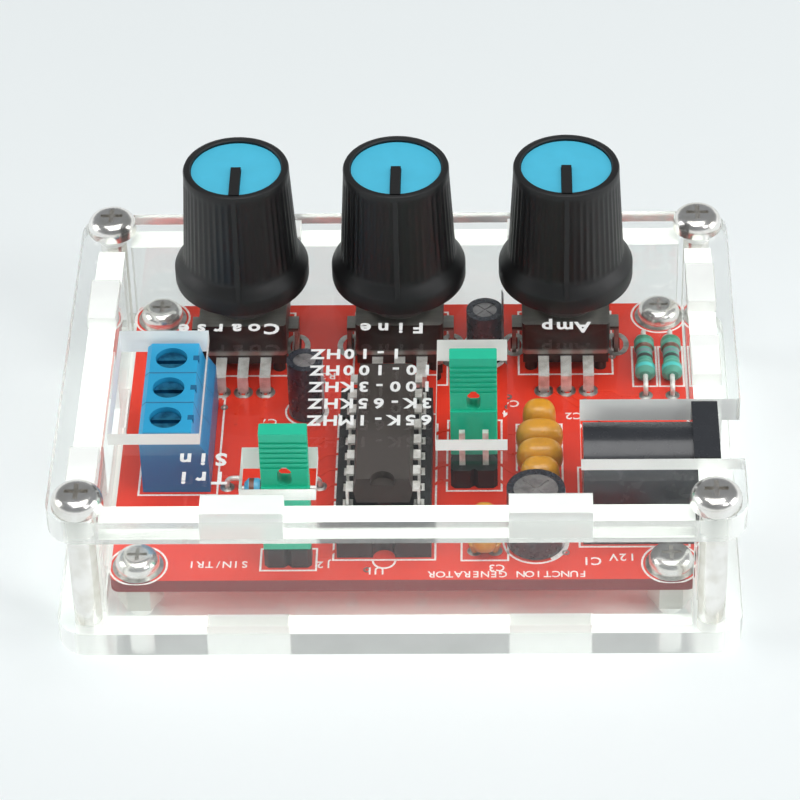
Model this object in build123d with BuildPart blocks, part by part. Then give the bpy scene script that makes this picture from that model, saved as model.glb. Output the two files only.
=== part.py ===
"""Bench function generator: a small circuit board in a clear acrylic case.

Frame: millimetres, +Z up.  The origin is the centre of the case's underside.
-Y is the front of the case (the wave selector), +Y is the knob side,
-X holds the screw terminal and +X the power inlet.
"""
import os

from build123d import *

# ---------------------------------------------------------------- case
PLATE = 3.0                      # thickness of every acrylic panel
CASE_X, CASE_Y, CASE_Z = 73.6, 53.2, 19.0
CORNER_R = 3.3                   # rounded corners of the top and bottom plates
SCREW_X, SCREW_Y = 33.4, 23.8    # case screws, in the open corners
SIDE_IN_X = 31.9                 # inner faces of the left and right panels
SIDE_IN_Y = 22.3                 # inner faces of the front and rear panels
END_PANEL_HALF = 21.5            # half length of the left and right panels
LONG_PANEL_HALF = 31.3           # half length of the front and rear panels
TAB = 8.6                        # tabs of the front and rear panels
TAB_X = 16.2
SIDE_TAB = 6.8                   # tabs of the left and right panels
LEFT_TABS_Y = (-17.8, 11.0)
RIGHT_TABS_Y = (0.6, 13.4)
SLOT_GAP = 0.1                   # clearance all round a tab in its slot
CLEAR_HOLE_R = 1.6               # top plate, round the case screws
CASE_THREAD_R = 1.52             # bottom plate, for the case screws
BOARD_THREAD_R = 1.27            # bottom plate, for the board screws
SHAFT_HOLE_R = 3.8               # top plate, round the control shafts
INSIDE_TOP = CASE_Z - PLATE

# ---------------------------------------------------------------- board
BOARD_Z, BOARD_T = 6.0, 1.6
DECK = BOARD_Z + BOARD_T         # component side of the board
BOARD_X0, BOARD_X1, BOARD_Y0, BOARD_Y1 = -30.9, 31.7, -21.8, 22.1
BOARD_SCREWS = [(x, y) for x in (-28.0, 29.1) for y in (-19.4, 19.8)]
PIN_END = BOARD_Z - 1.0          # solder side ends of all leads

# ---------------------------------------------------------------- controls
POTS = ((-18.0, 14.6), (-0.4, 14.6), (18.3, 14.6))
POT_W, POT_FRONT, POT_BACK = 9.8, 4.8, 5.6   # width, and reach in front of and behind the shaft
KNOB_Z0, KNOB_H = CASE_Z + 0.4, 15.1
SHAFT_R = 3.0

PITCH = 2.54
WAVE_XY = (-11.85, -18.55)       # centre of the two-pin selector header
RANGE_XY = (8.05, -3.7)          # centre of the five-row selector header
RANGE_ROW = -1                   # row that carries the cap, counted from the middle
HEADER_H, PIN_W, PIN_UP = 2.5, 0.64, 6.0
CAP_W, CAP_D, CAP_H = 5.1, 2.4, 14.7
CAP_GRIP = 7.2                   # height of the caps' ribbed handles, above their sockets
GRIP_D = 1.8                     # the handles are thinner than the sockets

# ---------------------------------------------------------------- connectors
TERM_X0, TERM_X1, TERM_STEP = -28.1, -20.7, -22.4
TERM_PITCH, TERM_Y = 5.08, -2.85
TERM_SCREW_X, TERM_TOP = -25.3, 17.6
JACK_Y, JACK_W, JACK_X0, JACK_X1 = -11.7, 9.2, 19.8, 34.3
JACK_FLANGE, JACK_H = 2.8, 11.2
JACK_AXIS_Z = DECK + 6.4

# ---------------------------------------------------------------- components
IC_X, IC_Y, IC_PINS = -1.6, -8.1, 8
SOCKET_H, IC_H = 4.2, 3.3
CAN_LARGE = (14.7, -15.8, 3.15, 5.0)                       # x, y, radius, height
CANS_SMALL = ((-10.7, 3.0, 2.0, 7.5), (9.2, 14.6, 2.1, 5.2))
DIPPED = ((15.2, -0.9, 3.6), (15.2, -4.3, 5.0), (15.2, -7.5, 4.9), (15.2, -10.55, 4.2),
          (9.2, -17.3, 2.7))                               # x, y, width
RESISTORS_PAIR = ((27.2, 10.6), (30.2, 10.6))
RESISTOR_SINGLE = (-13.85, -9.7)
RES_L, RES_R, RES_SPAN = 6.4, 1.15, 10.16
LEAD_R = 0.28

os.makedirs("parts", exist_ok=True)


def save(item, label):
    """Label one finished piece and write it as its own STEP file."""
    item.part.label = label
    export_step(item.part, f"parts/{label}.step")


def block(x0, x1, y0, y1, z0, z1, mode=Mode.ADD):
    """A box given by its corner coordinates, added to the current part."""
    with Locations(((x0 + x1) / 2, (y0 + y1) / 2, (z0 + z1) / 2)):
        Box(x1 - x0, y1 - y0, z1 - z0, mode=mode)


def post(x, y, radius, z0, z1, mode=Mode.ADD):
    """An upright cylinder between two heights, in the current part."""
    with Locations((x, y, (z0 + z1) / 2)):
        Cylinder(radius, z1 - z0, mode=mode)


# ================================================================ case plates
def tab_slots():
    """Sketch the slots that take the tabs of the four upright panels."""
    for side in (-1, 1):
        with Locations(*[(x, side * (SIDE_IN_Y + PLATE / 2)) for x in (-TAB_X, TAB_X)]):
            Rectangle(TAB + 2 * SLOT_GAP, PLATE + 2 * SLOT_GAP)
    for x, rows in ((-1, LEFT_TABS_Y), (1, RIGHT_TABS_Y)):
        with Locations(*[(x * (SIDE_IN_X + PLATE / 2), y) for y in rows]):
            Rectangle(PLATE + 2 * SLOT_GAP, SIDE_TAB + 2 * SLOT_GAP)


def window(x0, x1, y0, y1):
    """A rectangle given by its corners, in the current sketch."""
    with Locations(((x0 + x1) / 2, (y0 + y1) / 2)):
        Rectangle(x1 - x0, y1 - y0)


CASE_SCREWS = [(x, y) for x in (-SCREW_X, SCREW_X) for y in (-SCREW_Y, SCREW_Y)]
TERMINAL_WINDOW = (-31.2, -21.3, -12.3, 5.3)
WAVE_WINDOW = (-16.6, -8.5, -21.4, -14.6)
RANGE_WINDOW = (4.0, 11.7, -13.5, 3.4)
JACK_NOTCH_Y = (-16.8, -6.95)
JACK_WINDOW = (19.5, CASE_X / 2 + 1, *JACK_NOTCH_Y)
WIRE_WINDOW = (-11.0, 5.2, DECK + 0.2, 14.6)       # y and z limits, in the left panel

with BuildPart() as top_plate:
    with BuildSketch(Plane.XY.offset(INSIDE_TOP)):
        RectangleRounded(CASE_X, CASE_Y, CORNER_R)
    extrude(amount=PLATE)
    with BuildSketch(Plane.XY.offset(INSIDE_TOP)):
        tab_slots()
        with Locations(*CASE_SCREWS):
            Circle(CLEAR_HOLE_R)
        with Locations(*POTS):
            Circle(SHAFT_HOLE_R)
        for corners in (TERMINAL_WINDOW, WAVE_WINDOW, RANGE_WINDOW, JACK_WINDOW):
            window(*corners)
    extrude(amount=PLATE, mode=Mode.SUBTRACT)
save(top_plate, "top_plate")

with BuildPart() as bottom_plate:
    with BuildSketch():
        RectangleRounded(CASE_X, CASE_Y, CORNER_R)
    extrude(amount=PLATE)
    with BuildSketch():
        tab_slots()
        with Locations(*CASE_SCREWS):
            Circle(CASE_THREAD_R)
        with Locations(*BOARD_SCREWS):
            Circle(BOARD_THREAD_R)
    extrude(amount=PLATE, mode=Mode.SUBTRACT)
save(bottom_plate, "bottom_plate")

for label, side in (("front_panel", -1), ("rear_panel", 1)):
    y0, y1 = sorted((side * SIDE_IN_Y, side * (SIDE_IN_Y + PLATE)))
    with BuildPart() as long_panel:
        block(-LONG_PANEL_HALF, LONG_PANEL_HALF, y0, y1, PLATE, INSIDE_TOP)
        for x in (-TAB_X, TAB_X):
            block(x - TAB / 2, x + TAB / 2, y0, y1, 0, CASE_Z)
    save(long_panel, label)

with BuildPart() as left_panel:
    block(-SIDE_IN_X - PLATE, -SIDE_IN_X, -END_PANEL_HALF, END_PANEL_HALF, PLATE, INSIDE_TOP)
    for y in LEFT_TABS_Y:
        block(-SIDE_IN_X - PLATE, -SIDE_IN_X, y - SIDE_TAB / 2, y + SIDE_TAB / 2, 0, CASE_Z)
    # window in front of the wire entries
    block(-SIDE_IN_X - PLATE, -SIDE_IN_X, *WIRE_WINDOW, Mode.SUBTRACT)
save(left_panel, "left_panel")

with BuildPart() as right_panel:
    block(SIDE_IN_X, SIDE_IN_X + PLATE, -END_PANEL_HALF, END_PANEL_HALF, PLATE, INSIDE_TOP)
    for y in RIGHT_TABS_Y:
        block(SIDE_IN_X, SIDE_IN_X + PLATE, y - SIDE_TAB / 2, y + SIDE_TAB / 2, 0, CASE_Z)
    # notch that the power inlet sits in, open at the top
    block(SIDE_IN_X, SIDE_IN_X + PLATE, *JACK_NOTCH_Y, DECK - 0.3, CASE_Z, Mode.SUBTRACT)
save(right_panel, "right_panel")


# ================================================================ screws and spacers
def pan_screws(places, head_r, head_h, seat, shank_r, tip, cross):
    """Domed pan-head screws with a cross recess, standing head up on `seat`."""
    for x, y in places:
        with BuildSketch(Plane.XZ.offset(-y)) as profile:
            with BuildLine():
                Line((x, tip), (x + shank_r * 0.7, tip))
                Line((x + shank_r * 0.7, tip), (x + shank_r, tip + shank_r * 0.3))
                Line((x + shank_r, tip + shank_r * 0.3), (x + shank_r, seat))
                Line((x + shank_r, seat), (x + head_r, seat))
                Line((x + head_r, seat), (x + head_r, seat + head_h * 0.3))
                CenterArc((x + head_r - head_h * 0.7, seat + head_h * 0.3), head_h * 0.7, 0, 90)
                Line((x + head_r - head_h * 0.7, seat + head_h), (x, seat + head_h))
                Line((x, seat + head_h), (x, tip))
            make_face()
        revolve(profile.sketch, Axis((x, y, 0), (0, 0, 1)))
        for turn in (0, 90):
            with Locations(Location((x, y, seat + head_h), (0, 0, turn))):
                Box(cross * 2, cross * 0.42, head_h * 1.2, mode=Mode.SUBTRACT)


with BuildPart() as case_screws:
    pan_screws(CASE_SCREWS, 2.75, 2.0, CASE_Z, 1.5, 1.0, 1.25)
save(case_screws, "case_screws")

with BuildPart() as board_screws:
    pan_screws(BOARD_SCREWS, 2.4, 1.7, DECK, 1.25, 0.6, 1.05)
save(board_screws, "board_screws")

with BuildPart() as board_spacers:
    with BuildSketch(Plane.XY.offset(PLATE)):
        with Locations(*BOARD_SCREWS):
            RegularPolygon(2.15, 6, major_radius=False)
            Circle(1.28, mode=Mode.SUBTRACT)
    extrude(amount=BOARD_Z - PLATE)
save(board_spacers, "board_spacers")

# ================================================================ lead positions
term_rows = [TERM_Y + TERM_PITCH * k for k in (1, 0, -1)]
ic_rows = [IC_Y + PITCH * (k - (IC_PINS - 1) / 2) for k in range(IC_PINS)]
range_rows = [RANGE_XY[1] + PITCH * k for k in (-2, -1, 0, 1, 2)]
POT_PIN_Y = POTS[0][1] - 8.2

square_pins = [(WAVE_XY[0] + s * PITCH / 2, WAVE_XY[1]) for s in (-1, 1)]
square_pins += [(RANGE_XY[0] + s * PITCH / 2, y) for s in (-1, 1) for y in range_rows]
socket_pins = [(IC_X + s * 3.81, y) for s in (-1, 1) for y in ic_rows]
pot_pins = [(x + s * 2.5, POT_PIN_Y) for x, _ in POTS for s in (-1, 0, 1)]
term_pins = [(TERM_SCREW_X + 0.8, y) for y in term_rows]
can_leads = [(x + s * r * 0.5, y) for x, y, r, _ in (CAN_LARGE, *CANS_SMALL) for s in (-1, 1)]
dipped_leads = [(x + s * 1.1, y) for x, y, _ in DIPPED for s in (-1, 1)]
res_leads = [(x, y + s * RES_SPAN / 2) for x, y in RESISTORS_PAIR for s in (-1, 1)]
res_leads += [(RESISTOR_SINGLE[0] + s * RES_SPAN / 2, RESISTOR_SINGLE[1]) for s in (-1, 1)]
jack_tabs = [(JACK_X0 + 1.0, JACK_Y), (JACK_X0 + 7.0, JACK_Y), (JACK_X0 + 4.0, JACK_Y + 3.4)]
round_leads = can_leads + dipped_leads + res_leads
POT_LUG = POT_W / 2 + 0.9        # how far a mounting lug stands from the shaft
pot_lugs = [(x + s * POT_LUG, y) for x, y in POTS for s in (-1, 1)]

with BuildPart() as circuit_board:
    with BuildSketch(Plane.XY.offset(BOARD_Z)):
        with Locations(((BOARD_X0 + BOARD_X1) / 2, (BOARD_Y0 + BOARD_Y1) / 2)):
            RectangleRounded(BOARD_X1 - BOARD_X0, BOARD_Y1 - BOARD_Y0, 1.0)
    extrude(amount=BOARD_T)
    with BuildSketch(Plane.XY.offset(BOARD_Z)):
        for places, radius in ((BOARD_SCREWS, 1.35), (square_pins, 0.5), (socket_pins, 0.4),
                               (pot_pins, 0.65), (term_pins, 0.7), (round_leads, 0.38)):
            with Locations(*places):
                Circle(radius)
        with Locations(*pot_lugs):
            Rectangle(0.8, 2.6)
        with Locations(*jack_tabs):
            Rectangle(1.0, 2.8)
    extrude(amount=BOARD_T, mode=Mode.SUBTRACT)
save(circuit_board, "circuit_board")

with BuildPart() as solder_joints:
    for places, hole, pad in ((square_pins, 0.47, 0.95), (socket_pins, 0.33, 0.8),
                              (pot_pins, 0.58, 1.05), (term_pins, 0.6, 1.2),
                              (round_leads, LEAD_R + 0.02, 0.8)):
        for x, y in places:
            with BuildSketch(Plane.XZ.offset(-y)) as fillet_profile:
                with BuildLine():
                    Polyline((x + hole, BOARD_Z), (x + pad, BOARD_Z), (x + (hole + pad) / 2, BOARD_Z - 0.25),
                             (x + hole + 0.1, BOARD_Z - 0.8), (x + hole, BOARD_Z - 0.8), close=True)
                make_face()
            revolve(fillet_profile.sketch, Axis((x, y, 0), (0, 0, 1)))
save(solder_joints, "solder_joints")

# ================================================================ screw terminal
TERM_Y0, TERM_Y1 = TERM_Y - 1.5 * TERM_PITCH, TERM_Y + 1.5 * TERM_PITCH
ENTRY = 3.2                      # width of one wire entry
WELL = 4.1                       # width of one clamp well

with BuildPart() as terminal_body:
    with BuildSketch(Plane.XZ.offset(-TERM_Y1)) as terminal_profile:
        with BuildLine():
            Polyline((TERM_X0, DECK), (TERM_X1, DECK), (TERM_X1, DECK + 5.2), (TERM_X1 - 0.9, DECK + 6.8),
                     (TERM_STEP, TERM_TOP), (TERM_X0 + 0.5, TERM_TOP), (TERM_X0, TERM_TOP - 0.5),
                     close=True)
        make_face()
    extrude(amount=TERM_Y1 - TERM_Y0)
    for y in term_rows:
        # well for the clamp, wire entry on the outer face, screw hole on top, pin slot below
        block(TERM_SCREW_X - 1.8, TERM_SCREW_X + 2.6, y - WELL / 2, y + WELL / 2, DECK + 0.3, DECK + 8.2,
              Mode.SUBTRACT)
        block(TERM_X0 - 1, TERM_SCREW_X, y - ENTRY / 2, y + ENTRY / 2, DECK + 1.3, DECK + 4.9, Mode.SUBTRACT)
        post(TERM_SCREW_X, y, 1.75, DECK + 8, TERM_TOP + 1, Mode.SUBTRACT)
        post(TERM_SCREW_X + 0.8, y, 0.75, DECK - 1, DECK + 1, Mode.SUBTRACT)
save(terminal_body, "terminal_body")

with BuildPart() as terminal_pins:
    for y in term_rows:
        block(TERM_SCREW_X + 1.62, TERM_SCREW_X + 2.4, y - 1.2, y + 1.2, DECK + 0.32, DECK + 4.8)
        block(TERM_SCREW_X - 1.3, TERM_SCREW_X + 2.4, y - 1.2, y + 1.2, DECK + 4.2, DECK + 4.8)
        block(TERM_SCREW_X + 0.5, TERM_SCREW_X + 2.4, y - 0.45, y + 0.45, DECK + 0.32, DECK + 0.9)
        block(TERM_SCREW_X + 0.5, TERM_SCREW_X + 1.1, y - 0.45, y + 0.45, PIN_END, DECK + 0.9)
save(terminal_pins, "terminal_pins")

for number, y in enumerate(term_rows, start=1):
    with BuildPart() as terminal_screw:
        post(TERM_SCREW_X, y, 1.65, DECK + 8.25, DECK + 9.4)
        post(TERM_SCREW_X, y, 1.1, DECK + 4.85, DECK + 8.25)
        with Locations((TERM_SCREW_X, y, DECK + 9.4)):
            Box(4, 0.6, 1.4, mode=Mode.SUBTRACT)
    save(terminal_screw, f"terminal_screw_{number}")

    with BuildPart() as terminal_clamp:
        # rising cage: a square ring round the wire with a threaded roof
        block(TERM_SCREW_X - 1.5, TERM_SCREW_X + 1.5, y - 1.9, y + 1.9, DECK + 1.0, DECK + 5.75)
        block(TERM_SCREW_X - 2, TERM_SCREW_X + 2, y - 1.4, y + 1.4, DECK + 1.6, DECK + 4.9, Mode.SUBTRACT)
        post(TERM_SCREW_X, y, 1.13, DECK + 4.5, DECK + 6, Mode.SUBTRACT)
    save(terminal_clamp, f"terminal_clamp_{number}")

# ================================================================ power inlet
with BuildPart() as jack_body:
    flange_x = JACK_X1 - JACK_FLANGE
    block(flange_x, JACK_X1, JACK_Y - JACK_W / 2, JACK_Y + JACK_W / 2, DECK, DECK + JACK_H)
    # barrel housing: square below, round on top
    with BuildSketch(Plane.YZ.offset(JACK_X0)):
        with Locations((JACK_Y, DECK + 3.1)):
            Rectangle(JACK_W, 6.2)
        with Locations((JACK_Y, DECK + 6.2)):
            Circle(JACK_W / 2)
    extrude(amount=flange_x - JACK_X0)
    # socket for the plug and the cavity for the side spring
    with BuildSketch(Plane.YZ.offset(JACK_X1)):
        with Locations((JACK_Y, JACK_AXIS_Z)):
            Circle(3.15)
    extrude(amount=-10.0, mode=Mode.SUBTRACT)
    block(JACK_X0 + 2.5, JACK_X0 + 9.5, JACK_Y + 2.4, JACK_Y + 3.9, DECK - 1, DECK + 5.0, Mode.SUBTRACT)
    block(JACK_X0 + 0.35, JACK_X0 + 1.6, JACK_Y - 1.3, JACK_Y + 1.3, DECK - 1, DECK + 8.4, Mode.SUBTRACT)
    with BuildSketch(Plane.YZ.offset(JACK_X0 + 0.2)):
        with Locations((JACK_Y, JACK_AXIS_Z)):
            Circle(1.05)
    extrude(amount=6.0, mode=Mode.SUBTRACT)
    block(JACK_X0 + 6.5, JACK_X0 + 7.5, JACK_Y - 1.3, JACK_Y + 1.3, DECK - 1, DECK + 4.0, Mode.SUBTRACT)
save(jack_body, "jack_body")

with BuildPart() as jack_centre_pin:
    with BuildSketch(Plane.YZ.offset(JACK_X0 + 1.25)):
        with Locations((JACK_Y, JACK_AXIS_Z)):
            Circle(1.0)
    extrude(amount=11.6)
    fillet(jack_centre_pin.edges().filter_by(GeomType.CIRCLE).group_by(Axis.X)[-1], 0.6)
save(jack_centre_pin, "jack_centre_pin")

with BuildPart() as jack_contacts:
    # back tag that carries the centre pin
    block(JACK_X0 + 0.7, JACK_X0 + 1.2, JACK_Y - 1.1, JACK_Y + 1.1, PIN_END, JACK_AXIS_Z + 1.0)
    # lower tag and its spring against the plug sleeve
    block(JACK_X0 + 6.75, JACK_X0 + 7.25, JACK_Y - 1.1, JACK_Y + 1.1, PIN_END, DECK + 3.6)
    # side tag of the switch contact
    block(JACK_X0 + 3.75, JACK_X0 + 4.25, JACK_Y + 2.6, JACK_Y + 3.7, PIN_END, DECK + 4.6)
    block(JACK_X0 + 4.25, JACK_X0 + 9.0, JACK_Y + 3.2, JACK_Y + 3.6, DECK + 2.0, DECK + 4.6)
save(jack_contacts, "jack_contacts")

# ================================================================ chip and socket
SOCKET_L, SOCKET_W = IC_PINS * PITCH, 10.16
CHIP_Z0 = DECK + SOCKET_H + 0.6
CHIP_W, CHIP_L = 6.35, 19.3

with BuildPart() as ic_socket:
    with BuildSketch(Plane.XY.offset(DECK)):
        with Locations((IC_X, IC_Y)):
            Rectangle(SOCKET_W, SOCKET_L)
            Rectangle(4.0, SOCKET_L - 7.6, mode=Mode.SUBTRACT)
        with Locations((IC_X, IC_Y - SOCKET_L / 2)):
            Circle(1.2, mode=Mode.SUBTRACT)
    extrude(amount=SOCKET_H)
    with BuildSketch(Plane.XY.offset(DECK)):
        with Locations(*socket_pins):
            Rectangle(1.2, 1.5)
    extrude(amount=SOCKET_H, mode=Mode.SUBTRACT)
save(ic_socket, "ic_socket")

with BuildPart() as socket_contacts:
    for x, y in socket_pins:
        block(x - 0.55, x + 0.55, y - 0.7, y + 0.7, DECK + 0.2, DECK + SOCKET_H - 0.2)
        block(x - 0.25, x + 0.25, y - 0.35, y + 0.35, DECK + 1.2, DECK + SOCKET_H, Mode.SUBTRACT)
        post(x, y, 0.25, PIN_END, DECK + 0.4)
save(socket_contacts, "socket_contacts")

with BuildPart() as ic_body:
    with BuildSketch(Plane.XZ.offset(-(IC_Y + CHIP_L / 2))):
        with BuildLine():
            slope = 0.35
            mid = CHIP_Z0 + IC_H / 2
            Polyline((IC_X - CHIP_W / 2 + slope, CHIP_Z0), (IC_X + CHIP_W / 2 - slope, CHIP_Z0),
                     (IC_X + CHIP_W / 2, mid), (IC_X + CHIP_W / 2 - slope, CHIP_Z0 + IC_H),
                     (IC_X - CHIP_W / 2 + slope, CHIP_Z0 + IC_H), (IC_X - CHIP_W / 2, mid), close=True)
        make_face()
    extrude(amount=CHIP_L)
    # half-round index notch at the front end
    post(IC_X, IC_Y - CHIP_L / 2, 1.3, CHIP_Z0 + IC_H - 0.9, CHIP_Z0 + IC_H + 1, Mode.SUBTRACT)
save(ic_body, "ic_body")

with BuildPart() as ic_leads:
    for side in (-1, 1):
        edge_x = IC_X + side * CHIP_W / 2
        lead_x = IC_X + side * 3.81
        for y in ic_rows:
            x0, x1 = sorted((edge_x, lead_x + side * 0.14))
            block(x0, x1, y - 0.7, y + 0.7, mid - 0.14, mid + 0.14)
            block(lead_x - 0.14, lead_x + 0.14, y - 0.7, y + 0.7, DECK + SOCKET_H + 0.1, mid + 0.14)
            block(lead_x - 0.14, lead_x + 0.14, y - 0.23, y + 0.23, DECK + 1.6, DECK + SOCKET_H + 0.2)
save(ic_leads, "ic_leads")

# ================================================================ rotary controls
WAFER_Z0, WAFER_Z1 = DECK + 1.4, DECK + 2.6
COVER_Z1 = DECK + 6.8
BOSS_Z1 = INSIDE_TOP - 0.3
SHAFT_TOP = KNOB_Z0 + 8.4
STRIP_Z = WAFER_Z0 + 0.5         # underside of the terminal strips

for number, (px, py) in enumerate(POTS, start=1):
    left, right, front, back = px - POT_W / 2, px + POT_W / 2, py - POT_FRONT, py + POT_BACK
    with BuildPart() as pot_cover:
        # pressed cover with a bearing boss, and two lugs that bend out and down into the board
        block(left, right, front, back, WAFER_Z1, COVER_Z1)
        fillet(pot_cover.edges().filter_by(Axis.Z), 0.5)
        block(px - 4.35, px + 4.35, py - 4.3, py + 4.8, WAFER_Z1, COVER_Z1 - 0.6, Mode.SUBTRACT)
        post(px, py, 3.6, COVER_Z1, BOSS_Z1)
        post(px, py, SHAFT_R + 0.05, WAFER_Z1, BOSS_Z1, Mode.SUBTRACT)
        for side in (-1, 1):
            inner, outer = px + side * POT_W / 2, px + side * (POT_LUG + 0.25)
            block(*sorted((inner, outer)), py - 1.1, py + 1.1, WAFER_Z1 + 0.4, WAFER_Z1 + 0.9)
            block(*sorted((outer - side * 0.5, outer)), py - 1.1, py + 1.1, PIN_END, WAFER_Z1 + 0.9)
    save(pot_cover, f"pot_cover_{number}")

    with BuildPart() as pot_wafer:
        # moulded base that carries the resistance track, on four feet
        block(left + 0.1, right - 0.1, front, back, WAFER_Z0, WAFER_Z1)
        for foot_x in (left + 1.0, right - 1.0):
            for foot_y in (front + 1.0, back - 1.0):
                post(foot_x, foot_y, 0.7, DECK, WAFER_Z0)
        for s in (-1, 0, 1):
            block(px + 2.5 * s - 0.62, px + 2.5 * s + 0.62, front, front + 1.5, STRIP_Z - 0.02, STRIP_Z + 0.42,
                  Mode.SUBTRACT)
    save(pot_wafer, f"pot_wafer_{number}")

    with BuildPart() as pot_shaft:
        post(px, py, 4.1, WAFER_Z1 + 0.15, WAFER_Z1 + 1.5)
        post(px, py, SHAFT_R, WAFER_Z1 + 1.5, SHAFT_TOP)
        with Locations((px, py, SHAFT_TOP)):
            Box(8, 1.0, 12, mode=Mode.SUBTRACT)
    save(pot_shaft, f"pot_shaft_{number}")

with BuildPart() as pot_terminals:
    # each strip leaves its wafer level, turns down and passes through the board
    for x, y in pot_pins:
        block(x - 0.6, x + 0.6, y - 0.2, POTS[0][1] - POT_FRONT + 1.4, STRIP_Z, STRIP_Z + 0.4)
        block(x - 0.6, x + 0.6, y - 0.2, y + 0.2, DECK + 0.2, STRIP_Z + 0.4)
        block(x - 0.4, x + 0.4, y - 0.2, y + 0.2, PIN_END, DECK + 0.3)
save(pot_terminals, "pot_terminals")

# ================================================================ knobs
SKIRT_R, WAIST_R, RIM_R = 7.5, 6.45, 5.85
SKIRT_H, DISC_R, DISC_DROP = 2.1, 5.0, 0.35
KNOB_TOP = KNOB_Z0 + KNOB_H
SOCKET_DEEP = SHAFT_TOP - KNOB_Z0 + 0.4

for number, (px, py) in enumerate(POTS, start=1):
    with BuildPart() as knob:
        with BuildSketch(Plane.XZ.offset(-py)) as knob_profile:
            with BuildLine():
                Polyline((px, KNOB_Z0), (px + SKIRT_R - 0.3, KNOB_Z0), (px + SKIRT_R, KNOB_Z0 + 0.3),
                         (px + SKIRT_R, KNOB_Z0 + SKIRT_H), (px + SKIRT_R - 0.75, KNOB_Z0 + SKIRT_H + 1.0),
                         (px + WAIST_R, KNOB_Z0 + SKIRT_H + 1.2), (px + RIM_R, KNOB_TOP - 0.2),
                         (px + RIM_R - 0.2, KNOB_TOP), (px, KNOB_TOP), close=True)
            make_face()
        revolve(knob_profile.sketch, Axis((px, py, 0), (0, 0, 1)))
        # recess for the coloured disc, leaving the pointer bar standing in it
        with BuildSketch(Plane.XY.offset(KNOB_TOP - DISC_DROP - 0.8)):
            with Locations((px, py)):
                Circle(DISC_R)
            with Locations((px, py - DISC_R / 2)):
                Rectangle(1.1, DISC_R, mode=Mode.SUBTRACT)
        extrude(amount=2, mode=Mode.SUBTRACT)
        # pointer ridge down the front, over the skirt
        block(px - 0.28, px + 0.28, py - SKIRT_R + 0.1, py - RIM_R + 0.6, KNOB_Z0 + SKIRT_H - 0.5,
              KNOB_Z0 + SKIRT_H + 1.3)
        with BuildSketch(Plane.YZ.offset(px - 0.28)):
            with BuildLine():
                Polyline((py - WAIST_R - 0.3, KNOB_Z0 + SKIRT_H + 0.9), (py - RIM_R - 0.25, KNOB_TOP - 0.3),
                         (py - RIM_R + 0.5, KNOB_TOP - 0.3), (py - WAIST_R + 0.6, KNOB_Z0 + SKIRT_H + 0.9),
                         close=True)
            make_face()
        extrude(amount=0.56)
        # blind bore for the shaft
        post(px, py, SHAFT_R + 0.03, KNOB_Z0 - 1, KNOB_Z0 + SOCKET_DEEP, Mode.SUBTRACT)
    save(knob, f"knob_{number}")

    with BuildPart() as knob_disc:
        with BuildSketch(Plane.XY.offset(KNOB_TOP - DISC_DROP - 0.8)):
            with Locations((px, py)):
                Circle(DISC_R - 0.05)
            with Locations((px, py - DISC_R / 2)):
                Rectangle(1.2, DISC_R + 0.1, mode=Mode.SUBTRACT)
        extrude(amount=0.8)
    save(knob_disc, f"knob_disc_{number}")


# ================================================================ selector headers
def header_base(x, y, columns, rows):
    """Moulded base of a pin header, notched between positions and at its corners."""
    half_x, half_y = columns * PITCH / 2, rows * PITCH / 2
    block(x - half_x, x + half_x, y - half_y, y + half_y, DECK, DECK + HEADER_H)
    notches = [(x + s * half_x, y - half_y + j * PITCH) for s in (-1, 1) for j in range(rows + 1)]
    notches += [(x - half_x + i * PITCH, y + s * half_y) for s in (-1, 1) for i in range(1, columns)]
    for nx, ny in notches:
        with Locations(Location((nx, ny, DECK + HEADER_H / 2), (0, 0, 45))):
            Box(0.6, 0.6, HEADER_H, mode=Mode.SUBTRACT)


def header_pins(places):
    """Square posts that pass through the board."""
    for x, y in places:
        top = DECK + HEADER_H + PIN_UP
        block(x - PIN_W / 2, x + PIN_W / 2, y - PIN_W / 2, y + PIN_W / 2, PIN_END, top)


with BuildPart() as wave_header_base:
    header_base(*WAVE_XY, 2, 1)
    for x, y in square_pins[:2]:
        block(x - 0.33, x + 0.33, y - 0.33, y + 0.33, DECK, DECK + HEADER_H, Mode.SUBTRACT)
save(wave_header_base, "wave_header_base")

with BuildPart() as wave_header_pins:
    header_pins(square_pins[:2])
save(wave_header_pins, "wave_header_pins")

with BuildPart() as range_header_base:
    header_base(*RANGE_XY, 2, 5)
    for x, y in square_pins[2:]:
        block(x - 0.33, x + 0.33, y - 0.33, y + 0.33, DECK, DECK + HEADER_H, Mode.SUBTRACT)
save(range_header_base, "range_header_base")

with BuildPart() as range_header_pins:
    header_pins(square_pins[2:])
save(range_header_pins, "range_header_pins")

CAP_Z0 = DECK + HEADER_H + 0.1

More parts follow.
